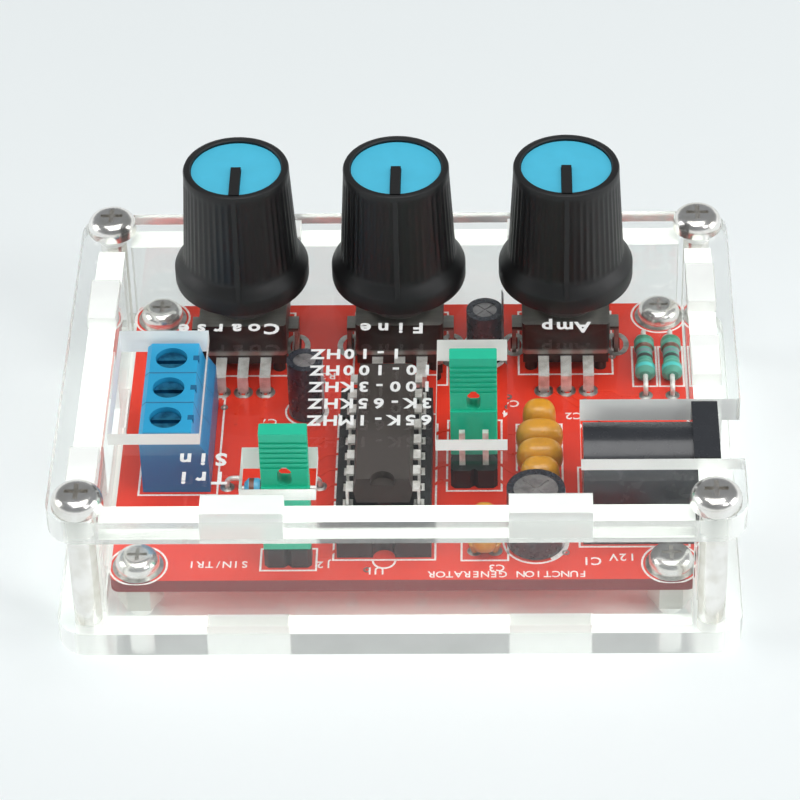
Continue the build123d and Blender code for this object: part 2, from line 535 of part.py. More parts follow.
for label, (cx, cy) in (("wave", WAVE_XY), ("range", (RANGE_XY[0], RANGE_XY[1] + RANGE_ROW * PITCH))):
    with BuildPart() as jumper_cap:
        block(cx - CAP_W / 2, cx + CAP_W / 2, cy - CAP_D / 2, cy + CAP_D / 2, CAP_Z0, CAP_Z0 + CAP_H - CAP_GRIP)
        block(cx - CAP_W / 2, cx + CAP_W / 2, cy - GRIP_D / 2, cy + GRIP_D / 2, CAP_Z0, CAP_Z0 + CAP_H)
        fillet(jumper_cap.edges().filter_by(Axis.Z), 0.2)
        # grip ribs across the handle on both faces
        for side in (-1, 1):
            for rib in range(6):
                z = CAP_Z0 + CAP_H - 1.2 - rib * 0.68
                y0, y1 = sorted((cy + side * (GRIP_D / 2 - 0.16), cy + side * (GRIP_D / 2 + 1)))
                block(cx - 3, cx + 3, y0, y1, z - 0.17, z + 0.17, Mode.SUBTRACT)
        # slot through the foot of the handle
        with BuildSketch(Plane.XZ.offset(-cy - 2)):
            with Locations((cx, CAP_Z0 + CAP_H - 5.9)):
                SlotCenterToCenter(0.9, 1.5, rotation=90)
        extrude(amount=4, mode=Mode.SUBTRACT)
        # wells for the two posts and the spring contact
        block(cx - 2.05, cx + 2.05, cy - 0.8, cy + 0.8, CAP_Z0 - 1, CAP_Z0 + 3.3, Mode.SUBTRACT)
        for x in (cx - PITCH / 2, cx + PITCH / 2):
            block(x - 0.38, x + 0.38, cy - 0.38, cy + 0.38, CAP_Z0, CAP_Z0 + 6.1, Mode.SUBTRACT)
    save(jumper_cap, f"{label}_jumper")

    with BuildPart() as jumper_contact:
        block(cx - 2.0, cx + 2.0, cy - 0.75, cy + 0.75, CAP_Z0 + 0.3, CAP_Z0 + 3.25)
        for x in (cx - PITCH / 2, cx + PITCH / 2):
            block(x - 0.38, x + 0.38, cy - 0.38, cy + 0.38, CAP_Z0, CAP_Z0 + 4, Mode.SUBTRACT)
    save(jumper_contact, f"{label}_jumper_contact")


# ================================================================ capacitors
def can(x, y, radius, height, sleeve):
    """Aluminium can of an electrolytic, 0.15 mm smaller than its sleeve, with a scored top."""
    inner = radius - sleeve
    post(x, y, inner, DECK + 0.3, DECK + height - 0.1)
    for turn in (0, 90):
        with Locations(Location((x, y, DECK + height - 0.1), (0, 0, turn + 45))):
            Box(inner * 1.3, 0.25, 0.24, mode=Mode.SUBTRACT)
    for side in (-1, 1):
        post(x + side * radius * 0.5, y, LEAD_R + 0.02, DECK, DECK + 1.0, Mode.SUBTRACT)


def sleeve(x, y, radius, height, wall):
    """Printed plastic sleeve that wraps the can and turns in over its rim."""
    post(x, y, radius, DECK + 0.2, DECK + height)
    post(x, y, radius - wall, DECK + 0.2, DECK + height - 0.1, Mode.SUBTRACT)
    post(x, y, radius - 0.75, DECK + height - 1, DECK + height + 1, Mode.SUBTRACT)


SLEEVE_T = 0.15
with BuildPart() as large_can:
    can(*CAN_LARGE, SLEEVE_T)
save(large_can, "large_capacitor_can")

with BuildPart() as large_sleeve:
    sleeve(*CAN_LARGE, SLEEVE_T)
save(large_sleeve, "large_capacitor_sleeve")

with BuildPart() as small_cans:
    for small in CANS_SMALL:
        can(*small, SLEEVE_T)
save(small_cans, "small_capacitor_cans")

with BuildPart() as small_sleeves:
    for small in CANS_SMALL:
        sleeve(*small, SLEEVE_T)
save(small_sleeves, "small_capacitor_sleeves")

DIPPED_T, DIPPED_Z0, DIPPED_H = 2.6, DECK + 0.7, 4.3
with BuildPart() as dipped_capacitors:
    for x, y, width in DIPPED:
        block(x - width / 2, x + width / 2, y - DIPPED_T / 2, y + DIPPED_T / 2, DIPPED_Z0,
              DIPPED_Z0 + DIPPED_H * (1.0 if width > 3.5 else 0.8))
    fillet(dipped_capacitors.edges(), 0.85)
    for x, y in dipped_leads:
        post(x, y, LEAD_R + 0.02, DECK, DIPPED_Z0 + 1.0, Mode.SUBTRACT)
save(dipped_capacitors, "dipped_capacitors")

# ================================================================ resistors
RES_Z = DECK + RES_R + 0.15


def resistor(x, y, turn):
    """Dog-bone resistor body along Y, turned about Z, with a blind hole for the lead at each end."""
    bulge = RES_R - 0.22
    with BuildSketch(Plane.XY, mode=Mode.PRIVATE) as half:
        with BuildLine():
            Polyline((0, -RES_L / 2), (RES_R * 0.6, -RES_L / 2), (RES_R, -RES_L / 2 + 0.45),
                     (RES_R, -RES_L / 2 + 1.5), (bulge, -RES_L / 2 + 1.9), (bulge, RES_L / 2 - 1.9),
                     (RES_R, RES_L / 2 - 1.5), (RES_R, RES_L / 2 - 0.45), (RES_R * 0.6, RES_L / 2),
                     (0, RES_L / 2), close=True)
        make_face()
    body = revolve(half.sketch, Axis.Y, mode=Mode.PRIVATE)
    for side in (-1, 1):
        body -= Pos(0, side * RES_L / 2, 0) * Rot(90, 0, 0) * Cylinder(LEAD_R + 0.02, 1.0, mode=Mode.PRIVATE)
    add(Pos(x, y, RES_Z) * Rot(0, 0, turn) * body)


with BuildPart() as resistor_pair:
    for x, y in RESISTORS_PAIR:
        resistor(x, y, 0)
save(resistor_pair, "resistor_pair")

with BuildPart() as resistor_single:
    resistor(*RESISTOR_SINGLE, 90)
save(resistor_single, "resistor_single")


# ================================================================ wire leads
def bent_lead(x, y, toward):
    """Lead that leaves a resistor's end level, bends down and goes through the board."""
    dx, dy = toward
    reach = RES_SPAN / 2 - RES_L / 2 + 0.45
    bend = 0.7
    with BuildLine(mode=Mode.PRIVATE) as route:
        FilletPolyline((x + dx * reach, y + dy * reach, RES_Z), (x, y, RES_Z), (x, y, PIN_END), radius=bend)
    start = Plane((x + dx * reach, y + dy * reach, RES_Z), z_dir=(-dx, -dy, 0))
    with BuildSketch(start, mode=Mode.PRIVATE) as section:
        Circle(LEAD_R)
    add(sweep(section.sketch, path=route.line, mode=Mode.PRIVATE))


with BuildPart() as component_leads:
    for x, y in can_leads:
        post(x, y, LEAD_R, PIN_END, DECK + 0.9)
    for x, y in dipped_leads:
        post(x, y, LEAD_R, PIN_END, DIPPED_Z0 + 0.9)
    for x, y in RESISTORS_PAIR:
        for side in (-1, 1):
            bent_lead(x, y + side * RES_SPAN / 2, (0, -side))
    for side in (-1, 1):
        bent_lead(RESISTOR_SINGLE[0] + side * RES_SPAN / 2, RESISTOR_SINGLE[1], (-side, 0))
save(component_leads, "component_leads")
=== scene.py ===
"""Looks of a bench function generator: a red kit board with its parts, in a clear acrylic case.

Shapes are worked out in millimetres and made in metres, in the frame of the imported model.
"""
import math

import bmesh
import bpy
from mathutils import Matrix, Vector


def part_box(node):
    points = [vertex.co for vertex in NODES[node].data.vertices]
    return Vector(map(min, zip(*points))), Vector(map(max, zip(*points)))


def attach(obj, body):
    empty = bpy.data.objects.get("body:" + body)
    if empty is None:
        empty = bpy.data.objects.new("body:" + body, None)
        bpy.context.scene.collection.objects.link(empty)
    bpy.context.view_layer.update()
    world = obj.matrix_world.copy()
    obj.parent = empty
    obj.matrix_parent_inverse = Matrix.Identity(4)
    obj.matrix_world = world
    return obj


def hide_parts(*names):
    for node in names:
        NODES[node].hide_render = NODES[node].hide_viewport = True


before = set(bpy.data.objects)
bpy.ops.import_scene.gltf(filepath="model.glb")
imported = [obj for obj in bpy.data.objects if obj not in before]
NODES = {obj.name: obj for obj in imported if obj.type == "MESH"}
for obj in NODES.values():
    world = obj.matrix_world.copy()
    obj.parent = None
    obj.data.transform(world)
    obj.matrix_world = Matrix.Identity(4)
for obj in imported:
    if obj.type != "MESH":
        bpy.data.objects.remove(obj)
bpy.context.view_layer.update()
MM = 0.001


def corners(node):
    """Lowest and highest corner of a CAD node, in millimetres."""
    low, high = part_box(node)
    return low / MM, high / MM


# ---------------------------------------------------------------- places taken from the CAD
PLATE_HIGH = corners("top_plate")[1]
CASE_TOP = PLATE_HIGH.z
BOARD_LOW, BOARD_HIGH = corners("circuit_board")
DECK = BOARD_HIGH.z                      # component side of the board
UNDERSIDE = BOARD_LOW.z                  # solder side of the board
PITCH = 2.54                             # grid of the leads
SHAFTS = []                              # axes of the three controls
for number in (1, 2, 3):
    disc_low, disc_high = corners(f"knob_disc_{number}")
    SHAFTS.append(((disc_low.x + disc_high.x) / 2, (disc_low.y + disc_high.y) / 2))
TERMINAL_LOW, TERMINAL_HIGH = corners("terminal_body")
SCREW_ROWS = [sum(v.y for v in corners(f"terminal_screw_{n}")) / 2 for n in (1, 2, 3)]
SCREW_X = sum(v.x for v in corners("terminal_screw_1")) / 2
JACK_LOW, JACK_HIGH = corners("jack_body")
SOCKET_LOW, SOCKET_HIGH = corners("ic_socket")
CHIP_LOW, CHIP_HIGH = corners("ic_body")
WAVE_LOW, WAVE_HIGH = corners("wave_header_base")
RANGE_LOW, RANGE_HIGH = corners("range_header_base")
CAN_LOW, CAN_HIGH = corners("large_capacitor_sleeve")
BOARD_SCREWS = [(x, y) for x in (-28.0, 29.1) for y in (-19.4, 19.8)]
SMALL_CANS = ((-10.7, 3.0, 2.0), (9.2, 14.6, 2.1))       # x, y, radius
SMALL_STRIPE_TOP = 7.5                   # height that both stripes are cut for; the rear can is 2.3 lower
DIPPED = ((15.2, -0.9, 3.7), (15.2, -4.3, 5.2), (15.2, -7.5, 5.1), (15.2, -10.55, 4.3), (9.2, -17.3, 2.8))
DIPPED_LEAD = 1.1                        # how far each lead of a dipped capacitor stands from its middle
CAPACITOR_TRACKS_X = 13.95               # where the tracks from the range posts end
RESISTOR_XS, RESISTOR_Y = (27.2, 30.2), 10.6
SINGLE_X, SINGLE_Y = -13.85, -9.7
RESISTOR_SPAN = 10.16
CHIP_X = (CHIP_LOW.x + CHIP_HIGH.x) / 2
CHIP_Y = (SOCKET_LOW.y + SOCKET_HIGH.y) / 2
CHIP_ROWS = [CHIP_Y + PITCH * (k - 3.5) for k in range(8)]
CHIP_HALF = 3.81                         # half the distance between the chip's two rows
RANGE_X = (RANGE_LOW.x + RANGE_HIGH.x) / 2
RANGE_Y = (RANGE_LOW.y + RANGE_HIGH.y) / 2
RANGE_ROWS = [RANGE_Y + PITCH * k for k in range(-2, 3)]
WAVE_X = (WAVE_LOW.x + WAVE_HIGH.x) / 2
WAVE_Y = (WAVE_LOW.y + WAVE_HIGH.y) / 2
POT_PIN_REACH, POT_PITCH, POT_LUG_REACH = 8.2, 2.5, 5.8  # pins and lugs, measured from the shaft
POT_PIN_Y = SHAFTS[0][1] - POT_PIN_REACH
POT_PINS = [(x + step * POT_PITCH, POT_PIN_Y) for x, _ in SHAFTS for step in (-1, 0, 1)]
POT_LUGS = [(x + side * POT_LUG_REACH, y) for x, y in SHAFTS for side in (-1, 1)]
TERMINAL_PIN_SHIFT = 0.8                 # the pins stand inboard of the screws
TERMINAL_PINS = [(SCREW_X + TERMINAL_PIN_SHIFT, y) for y in SCREW_ROWS]
JACK_PINS = ((20.8, -11.7), (26.8, -11.7))
HEADER_PINS = [(RANGE_X + s * PITCH / 2, y) for s in (-1, 1) for y in RANGE_ROWS]
HEADER_PINS += [(WAVE_X + s * PITCH / 2, WAVE_Y) for s in (-1, 1)]
CHIP_PINS = [(CHIP_X + s * CHIP_HALF, y) for s in (-1, 1) for y in CHIP_ROWS]
CAN_X, CAN_Y = (CAN_LOW.x + CAN_HIGH.x) / 2, (CAN_LOW.y + CAN_HIGH.y) / 2
CAN_R = (CAN_HIGH.x - CAN_LOW.x) / 2
CANS = ((CAN_X, CAN_Y, CAN_R, CAN_HIGH.z - DECK), *((x, y, r, SMALL_STRIPE_TOP) for x, y, r in SMALL_CANS))
LEADS = [(x + s * r * 0.5, y) for x, y, r, _ in CANS for s in (-1, 1)]
LEADS += [(x + s * DIPPED_LEAD, y) for x, y, _ in DIPPED for s in (-1, 1)]
LEADS += [(x, RESISTOR_Y + s * RESISTOR_SPAN / 2) for x in RESISTOR_XS for s in (-1, 1)]
LEADS += [(SINGLE_X + s * RESISTOR_SPAN / 2, SINGLE_Y) for s in (-1, 1)]


# ---------------------------------------------------------------- finishes
def paint(code):
    """Linear red, green and blue of a colour given as six hex digits."""
    parts = [int(code[i:i + 2], 16) / 255 for i in (0, 2, 4)]
    return tuple(p / 12.92 if p <= 0.04045 else ((p + 0.055) / 1.055) ** 2.4 for p in parts)


def shade(colour, factor):
    """The same colour, darker or lighter."""
    return tuple(min(1.0, part * factor) for part in colour)


class Reading:
    """A socket whose value varies from place to place; sums on it add Math nodes."""

    def __init__(self, finish, socket):
        self.finish, self.socket = finish, socket

    def maths(self, operation, *values):
        return self.finish.add("ShaderNodeMath", {"operation": operation}, values)

    def __add__(self, other):
        return self.maths("ADD", self, other)

    def __mul__(self, other):
        return self.maths("MULTIPLY", self, other)

    def __sub__(self, other):
        return self.maths("SUBTRACT", self, other)

    def __rsub__(self, other):
        return self.maths("SUBTRACT", other, self)

    def __abs__(self):
        return self.maths("ABSOLUTE", self)

    __radd__, __rmul__ = __add__, __mul__

    def rise(self, start, end):
        """0 below start, 1 above end, with a smooth step between; falls if end is below start."""
        limits = {"Value": self, "From Min": start, "From Max": end}
        settings = {"interpolation_type": "SMOOTHSTEP"}
        if start < end:
            return self.finish.add("ShaderNodeMapRange", settings, limits)
        limits.update({"From Min": end, "From Max": start})
        return 1 - self.finish.add("ShaderNodeMapRange", settings, limits)

    def near(self, middle, reach, soft):
        """1 within reach of the middle, fading to 0 over the soft distance."""
        return abs(self - middle).rise(reach + soft, reach)


class Wiring:
    """A node tree that is wired up from Python expressions."""

    def __init__(self, tree, coordinates):
        self.tree = tree
        self.place = self.add("ShaderNodeTexCoord", out=coordinates)

    def feed(self, socket, value):
        if isinstance(value, Reading):
            self.tree.links.new(value.socket, socket)
        elif socket.type == "RGBA":
            socket.default_value = (*value[:3], 1.0)
        else:
            socket.default_value = value

    def add(self, kind, settings=None, sockets=(), out=0):
        """A node of any kind: its settings first, then its sockets by place or by name."""
        node = self.tree.nodes.new(kind)
        for name, value in (settings or {}).items():
            setattr(node, name, value)
        for key, value in (sockets.items() if isinstance(sockets, dict) else enumerate(sockets)):
            self.feed(node.inputs[key], value)
        return Reading(self, node.outputs[out])

    def mix(self, factor, a, b):
        """Blend of two colours."""
        return self.add("ShaderNodeMix", {"data_type": "RGBA"}, {0: factor, 6: a, 7: b}, out=2)


class Finish(Wiring):
    """One material: a Principled surface and the nodes that vary it."""

    def __init__(self, name, **constants):
        self.material = bpy.data.materials.new(name)
        self.material.use_nodes = True
        super().__init__(self.material.node_tree, "Object")
        self.surface = self.tree.nodes["Principled BSDF"]
        self.output = self.tree.nodes["Material Output"]
        self.set(**constants)

    def set(self, **inputs):
        """Feed the surface's inputs, named with underscores for spaces."""
        for name, value in inputs.items():
            self.feed(self.surface.inputs[name.replace("_", " ")], value)

    def noise(self, size, detail=2.0, stretch=(1, 1, 1)):
        """Cloudy pattern of that size in millimetres, longer along the stretched axes."""
        scale = tuple(1 / (size * MM * s) for s in stretch)
        at = self.add("ShaderNodeVectorMath", {"operation": "MULTIPLY"}, [self.place, scale])
        return self.add("ShaderNodeTexNoise", {}, {"Vector": at, "Scale": 1.0, "Detail": detail})

    def axis(self, name):
        """Distance along X, Y or Z from the part's origin, in millimetres."""
        return self.add("ShaderNodeSeparateXYZ", {}, [self.place], out=name) * (1 / MM)

    def facing(self, name):
        """How squarely the surface faces along X, Y or Z, from 0 to 1."""
        normal = self.add("ShaderNodeNewGeometry", out="True Normal")
        return abs(self.add("ShaderNodeSeparateXYZ", {}, [normal], out=name))

    def bump(self, height, depth, strength=1.0):
        """Relief of that depth in millimetres."""
        relief = {"Height": height, "Distance": depth * MM, "Strength": strength}
        self.set(Normal=self.add("ShaderNodeBump", {}, relief))

    def mixed(self, factor, first, second):
        """Mix two shaders and make the result the surface."""
        both = self.add("ShaderNodeMixShader", {}, [factor, first, second])
        self.feed(self.output.inputs["Surface"], both)
        return both


def moulded(name, colour, roughness, mottle=0.08, grain=0.3, depth=0.004, **constants):
    """Moulded plastic or epoxy: faint mottling, an uneven gloss and a fine grain."""
    finish = Finish(name, **constants)
    cloud = finish.noise(2.5)
    finish.set(Base_Color=finish.mix(cloud, shade(colour, 1 - mottle), shade(colour, 1 + mottle)),
               Roughness=finish.noise(1.2, 3.0) * 0.16 + (roughness - 0.08))
    finish.bump(finish.noise(grain, 3.0), depth)
    return finish


def metal(name, bright, dull, roughness, size=1.5, stretch=(1, 1, 1), depth=0.003, metallic=1.0):
    """Bare or plated metal, with patches of tarnish and fine tool marks."""
    finish = Finish(name, Metallic=metallic)
    patches = finish.noise(size, 3.0)
    finish.set(Base_Color=finish.mix(patches.rise(0.35, 0.75), bright, dull),
               Roughness=finish.noise(size / 3, 2.0, stretch) * 0.18 + (roughness - 0.06))
    finish.bump(finish.noise(size / 8, 2.0, stretch), depth)
    return finish


def acrylic(name, axis, rim=0.12):
    """Clear cast acrylic sheet lying across one axis: polished faces, and cut edges with a fine kerf.

    rim is how frosted the outer edges are; the walls of windows and slots inside the outline are frostier.
    The frost on the cut faces carries a faint painted glow, more of it where they are frostier.
    """
    finish = Finish(name, IOR=1.49, Transmission_Weight=1.0)
    cut = finish.facing(axis).rise(0.6, 0.4)
    along = {"X": (12, 1, 1), "Y": (1, 12, 1), "Z": (1, 1, 12)}[axis]
    kerf = finish.noise(0.35, 2.0, along)
    haze = finish.noise(9.0, 3.0)
    finish.set(Base_Color=finish.mix(cut, paint("fbfcfb"), paint("eef1ec")),
               Roughness=cut * (kerf * 0.2 + 0.1) + haze * 0.012)
    finish.bump(kerf * cut, 0.012)
    glass = Reading(finish, finish.surface.outputs[0])
    # painted glow: the frosted cut faces emit a faint white light, standing in for light carried inside the
    # sheet that leaves at its cut faces
    frost_and_painted_glow = {"Base Color": paint("f4f6f3"), "Roughness": 0.6, "Emission Color": paint("fafcfb"),
             "Emission Strength": 0.15}
    frost = finish.add("ShaderNodeBsdfPrincipled", {}, frost_and_painted_glow)
    # window and slot walls get more frost and more painted glow, partly standing in for the white they
    # reflect from inside the sheet
    inner = abs(finish.axis("X")).rise(PLATE_HIGH.x - 0.2, PLATE_HIGH.x - 0.5)
    inner = inner * abs(finish.axis("Y")).rise(PLATE_HIGH.y - 0.1, PLATE_HIGH.y - 0.4)
    body = finish.mixed(cut * (inner * 0.6 + haze * 0.2 + rim), glass, frost)
    shadow_ray = finish.add("ShaderNodeLightPath", out="Is Shadow Ray")
    clear = finish.add("ShaderNodeBsdfTransparent", {}, {"Color": (0.985, 0.99, 0.985)})
    finish.mixed(shadow_ray, body, clear)
    return finish


def solder_mask():
    """Red solder mask on both faces of the board, the brown laminate along its cut edges, and a painted red
    glow on the solder side.
    """
    finish = Finish("board_red", Coat_Roughness=0.12, Coat_IOR=1.45)
    red, edge = paint("db3119"), paint("93393a")
    weave = finish.noise(0.5, 2.0, (4, 1, 1)) * 0.5 + finish.noise(0.5, 2.0, (1, 4, 1)) * 0.5
    cloud = finish.noise(6.0, 2.0)
    mask = finish.mix(cloud * 0.5 + weave * 0.5, shade(red, 0.88), shade(red, 1.12))
    side = finish.facing("Z").rise(0.6, 0.4)
    layers = finish.noise(0.12, 1.0, (60, 60, 1))
    finish.set(Base_Color=finish.mix(side, mask, finish.mix(layers, shade(edge, 0.8), shade(edge, 1.2))),
               Roughness=side * 0.25 + weave * 0.12 + 0.38, Coat_Weight=(1 - side) * 0.12)
    below = finish.axis("Z").rise(UNDERSIDE + 0.3, UNDERSIDE + 0.1) * (1 - side)
    # painted glow: the solder side emits red light though it is no lamp, standing in for light from above
    # seen through the laminate
    finish.set(Emission_Color=finish.mix(below, (0, 0, 0), red), Emission_Strength=0.7)
    finish.bump(weave, 0.006)
    return finish


def knob_plastic():
    """Satin black knob: finely eroded grain, rubbed brighter by fingers part of the way up."""
    finish = Finish("knob_black")
    black = paint("101011")
    touched = finish.axis("Z").near(CASE_TOP + 9.0, 2.0, 5.0) * finish.noise(3.0, 3.0)
    finish.set(Base_Color=finish.mix(finish.noise(1.5, 3.0), shade(black, 0.8), shade(black, 1.25)),
               Roughness=0.42 - touched * 0.12 + finish.noise(0.6) * 0.08)
    finish.bump(finish.noise(0.18, 3.0), 0.012)
    return finish


def knob_paint():
    """Sky-blue disc let into the knob, with a faint turned texture."""
    finish = Finish("knob_blue", Coat_Roughness=0.3)
    blue = paint("4cc0e0")
    finish.set(Base_Color=finish.mix(finish.noise(2.0, 3.0), shade(blue, 0.93), shade(blue, 1.06)),
               Roughness=finish.noise(0.8) * 0.15 + 0.38, Coat_Weight=finish.noise(3.0) * 0.1)
    finish.bump(finish.noise(0.25, 2.0, (1, 1, 8)), 0.006)
    return finish


def terminal_plastic():
    """Blue terminal plastic, with the joint lines between its three poles and painted shade low down."""
    finish = Finish("terminal_blue", Specular_IOR_Level=0.5)
    blue = paint("2fa6d6")
    low = paint("2a6fa8")
    first, second = (finish.axis("Y").near(row - PITCH, 0.05, 0.08) for row in SCREW_ROWS[:2])
    joints = first + second
    # painted shade: the body darkens from blue to a deeper blue towards the board
    height = finish.axis("Z").rise(DECK + 4, DECK + 10)
    body = finish.mix(height, low, blue)
    body = finish.mix(finish.noise(1.4, 3.0) * 0.25, body, shade(blue, 0.7))
    finish.set(Base_Color=finish.mix(joints * 0.7, body, shade(low, 0.5)),
               Roughness=finish.noise(0.7, 2.0) * 0.14 + 0.28)
    finish.bump(finish.noise(0.3, 2.0) * 0.2 - joints, 0.05)
    return finish


def sleeve_plastic():
    """Dark shrunk plastic sleeve of an electrolytic capacitor."""
    finish = Finish("can_sleeve", Coat_Roughness=0.15)
    dark = paint("26282f")
    finish.set(Base_Color=finish.mix(finish.noise(1.0, 2.0), shade(dark, 0.8), shade(dark, 1.3)),
               Roughness=finish.noise(0.8) * 0.12 + 0.22, Coat_Weight=finish.noise(2.0) * 0.3 + 0.1)
    finish.bump(finish.noise(0.6, 2.0, (1, 1, 0.3)), 0.015)
    return finish


def banded(name, body, along, middle, bands):
    """Lacquered resistor body with painted colour bands at given distances from its middle."""
    finish = Finish(name, Coat_Weight=0.4, Coat_Roughness=0.2)
    colour = finish.mix(finish.noise(0.5, 2.0), shade(body, 0.85), shade(body, 1.15))
    place = finish.axis(along)
    for offset, stripe in bands:
        ring = place.near(middle + offset, 0.24, 0.06)
        colour = finish.mix(ring, colour, stripe)
    finish.set(Base_Color=colour, Roughness=finish.noise(0.6) * 0.15 + 0.3)
    finish.bump(finish.noise(0.4, 2.0), 0.01)
    return finish


def chip_plastic():
    """Dark brown-black moulding compound of the chip, matt and slightly speckled."""
    finish = Finish("chip_epoxy")
    dark = paint("3b332f")
    speck = finish.noise(0.12, 1.0).rise(0.62, 0.75)
    finish.set(Base_Color=finish.mix(speck * 0.35, shade(dark, 0.85), shade(dark, 1.8)),
               Roughness=finish.noise(0.9) * 0.2 + 0.42)
    finish.bump(finish.noise(0.15, 3.0), 0.008)
    return finish


def epoxy_dip():
    """Ochre epoxy dip of the small capacitors, with painted shade low down near the leads."""
    finish = Finish("dipped_yellow", Coat_Weight=0.5, Coat_Roughness=0.12)
    ochre = paint("cf9024")
    # painted shade: the epoxy darkens towards the board, to half its brightness
    low = finish.axis("Z").rise(DECK + 2.2, DECK + 0.8)
    body = finish.mix(finish.noise(1.2, 2.0), shade(ochre, 0.85), shade(ochre, 1.12))
    finish.set(Base_Color=finish.mix(low * 0.7, body, shade(ochre, 0.5)),
               Roughness=finish.noise(0.8) * 0.12 + 0.24)
    finish.bump(finish.noise(0.9, 2.0), 0.05)
    return finish


def cover_metal():
    """Pressed cover of a control: bare brushed steel on top and at the foot, black lacquer between."""
    finish = Finish("control_cover")
    top = finish.facing("Z").rise(0.4, 0.6)
    low = finish.axis("Z").rise(DECK + 3.4, DECK + 2.9)
    bare = top + low - top * low
    scratch = finish.noise(0.5, 2.0, (10, 1, 1))
    steel = finish.mix(scratch, paint("8f8e8a"), paint("b4b2ad"))
    lacquer = finish.mix(finish.noise(2.0, 2.0), paint("1c1a19"), paint("2c2725"))
    finish.set(Base_Color=finish.mix(bare, lacquer, steel), Metallic=bare * 0.9,
               Roughness=scratch * 0.15 + 0.34)
    finish.bump(scratch, 0.003)
    return finish


def ink(name, colour, gaps=0.0):
    """Screen-printed ink, a little uneven in cover."""
    finish = Finish(name)
    worn = finish.noise(0.22, 2.0).rise(0.35, 0.6)
    finish.set(Base_Color=finish.mix(worn, shade(colour, 0.9 - gaps), colour),
               Roughness=finish.noise(0.3) * 0.2 + 0.5)
    finish.bump(finish.noise(0.1, 2.0), 0.004)
    return finish


BASE_RIM = 0.45                          # the bottom plate's outer edges are frostier than the top plate's, and carry more painted glow
level_sheet = acrylic("acrylic_level_sheet", "Z")
base_sheet = acrylic("acrylic_base_sheet", "Z", BASE_RIM)
front_sheet = acrylic("acrylic_front_sheet", "Y")
end_sheet = acrylic("acrylic_end_sheet", "X")
board_red = solder_mask()
copper_track = moulded("masked_copper", paint("e0391f"), 0.3, 0.1, 0.5, 0.004, Coat_Weight=0.3)
knob_black = knob_plastic()
knob_blue = knob_paint()
terminal_blue = terminal_plastic()
# painted shade: darker blue for the shade inside the terminal's notches
recess_shade_blue = moulded("terminal_recess_shade", paint("17638c"), 0.5)
nickel = metal("nickel_plate", paint("f8f6f3"), paint("e6e3dc"), 0.18, 2.0, depth=0.001, metallic=0.9)
tin = metal("tin_plate", paint("f2f0ec"), paint("cbc7c0"), 0.34, 1.2, depth=0.001, metallic=0.45)
solder = metal("solder", paint("d9d8d4"), paint("98968f"), 0.3, 0.9, depth=0.02)
brass = metal("brass", paint("d9b765"), paint("a37f3a"), 0.3, 1.2)
blued = metal("blued_screw", paint("3f92b4"), paint("2a6582"), 0.5, 1.0)
aluminium = metal("can_aluminium", paint("b4b0b0"), paint("8e8a8b"), 0.4, 1.0, (1, 8, 1))
jack_black = moulded("inlet_black", paint("34363a"), 0.26, 0.12, 0.5, 0.008, Coat_Weight=0.15)
socket_black = moulded("socket_black", paint("1f1e1f"), 0.42, 0.12, 0.3, 0.008)
header_black = moulded("header_black", paint("1c1b1c"), 0.4, 0.12, 0.3, 0.008)
wafer_brown = moulded("control_wafer", paint("2e211e"), 0.5, 0.2, 0.4, 0.012)
shaft_white = moulded("control_shaft", paint("d9d8d2"), 0.4, 0.05, 0.4, 0.006)
jumper_green = moulded("jumper_green", paint("27c59e"), 0.36, 0.08, 0.4, 0.006)
sleeve = sleeve_plastic()
stripe_ink = ink("sleeve_stripe", paint("b9bcc2"), 0.1)
chip = chip_plastic()
cover_steel = cover_metal()
dipped = epoxy_dip()
white_ink = ink("legend_white", paint("f7f7f5"))
silk_ink = ink("board_print", paint("f2e9e6"), 0.08)
BAND_GREEN, BAND_GREY, BAND_BROWN = (paint(c) for c in ("3d8263", "70868a", "6b4030"))
BAND_CYAN, BAND_BLACK, BAND_RUST = (paint(c) for c in ("49c0bd", "2b2b2b", "8a3a28"))
teal_resistor = banded("resistor_teal", paint("4c9c88"), "Y", RESISTOR_Y,
                       ((2.45, BAND_GREEN), (1.25, BAND_BROWN), (0.4, BAND_GREY), (-0.45, BAND_BLACK),
                        (-2.35, BAND_CYAN)))
blue_resistor = banded("resistor_blue", paint("4f9fc0"), "X", SINGLE_X,
                       ((-2.4, BAND_BROWN), (-1.2, BAND_BLACK), (-0.3, BAND_BLACK), (0.6, BAND_RUST),
                        (2.4, BAND_BROWN)))


def each(name):
    """The names of three like nodes, numbered from 1."""
    return tuple(f"{name}_{k}" for k in (1, 2, 3))


WEARS = {
    level_sheet: ("top_plate",),
    base_sheet: ("bottom_plate",),
    front_sheet: ("front_panel", "rear_panel"),
    end_sheet: ("left_panel", "right_panel"),
    nickel: ("case_screws", "board_screws"),
    board_red: ("circuit_board",),
    solder: ("solder_joints",),
    terminal_blue: ("terminal_body",),
    tin: ("terminal_pins", *each("terminal_clamp"), "jack_contacts", "socket_contacts", "ic_leads",
          "pot_terminals", "wave_header_pins", "range_header_pins", "component_leads", "wave_jumper_contact",
          "range_jumper_contact"),
    blued: each("terminal_screw"),
    cover_steel: each("pot_cover"),
    shaft_white: ("board_spacers", *each("pot_shaft")),
    jack_black: ("jack_body",),
    brass: ("jack_centre_pin",),
    socket_black: ("ic_socket",),
    chip: ("ic_body",),
    wafer_brown: each("pot_wafer"),
    header_black: ("wave_header_base", "range_header_base"),
    knob_blue: each("knob_disc"),
    jumper_green: ("wave_jumper", "range_jumper"),
    aluminium: ("large_capacitor_can", "small_capacitor_cans"),
    sleeve: ("large_capacitor_sleeve", "small_capacitor_sleeves"),
    dipped: ("dipped_capacitors",),
    teal_resistor: ("resistor_pair",),
    blue_resistor: ("resistor_single",),
}
for finish, names in WEARS.items():
    for name in names:
        for slot in NODES[name].material_slots:
            slot.material = finish.material


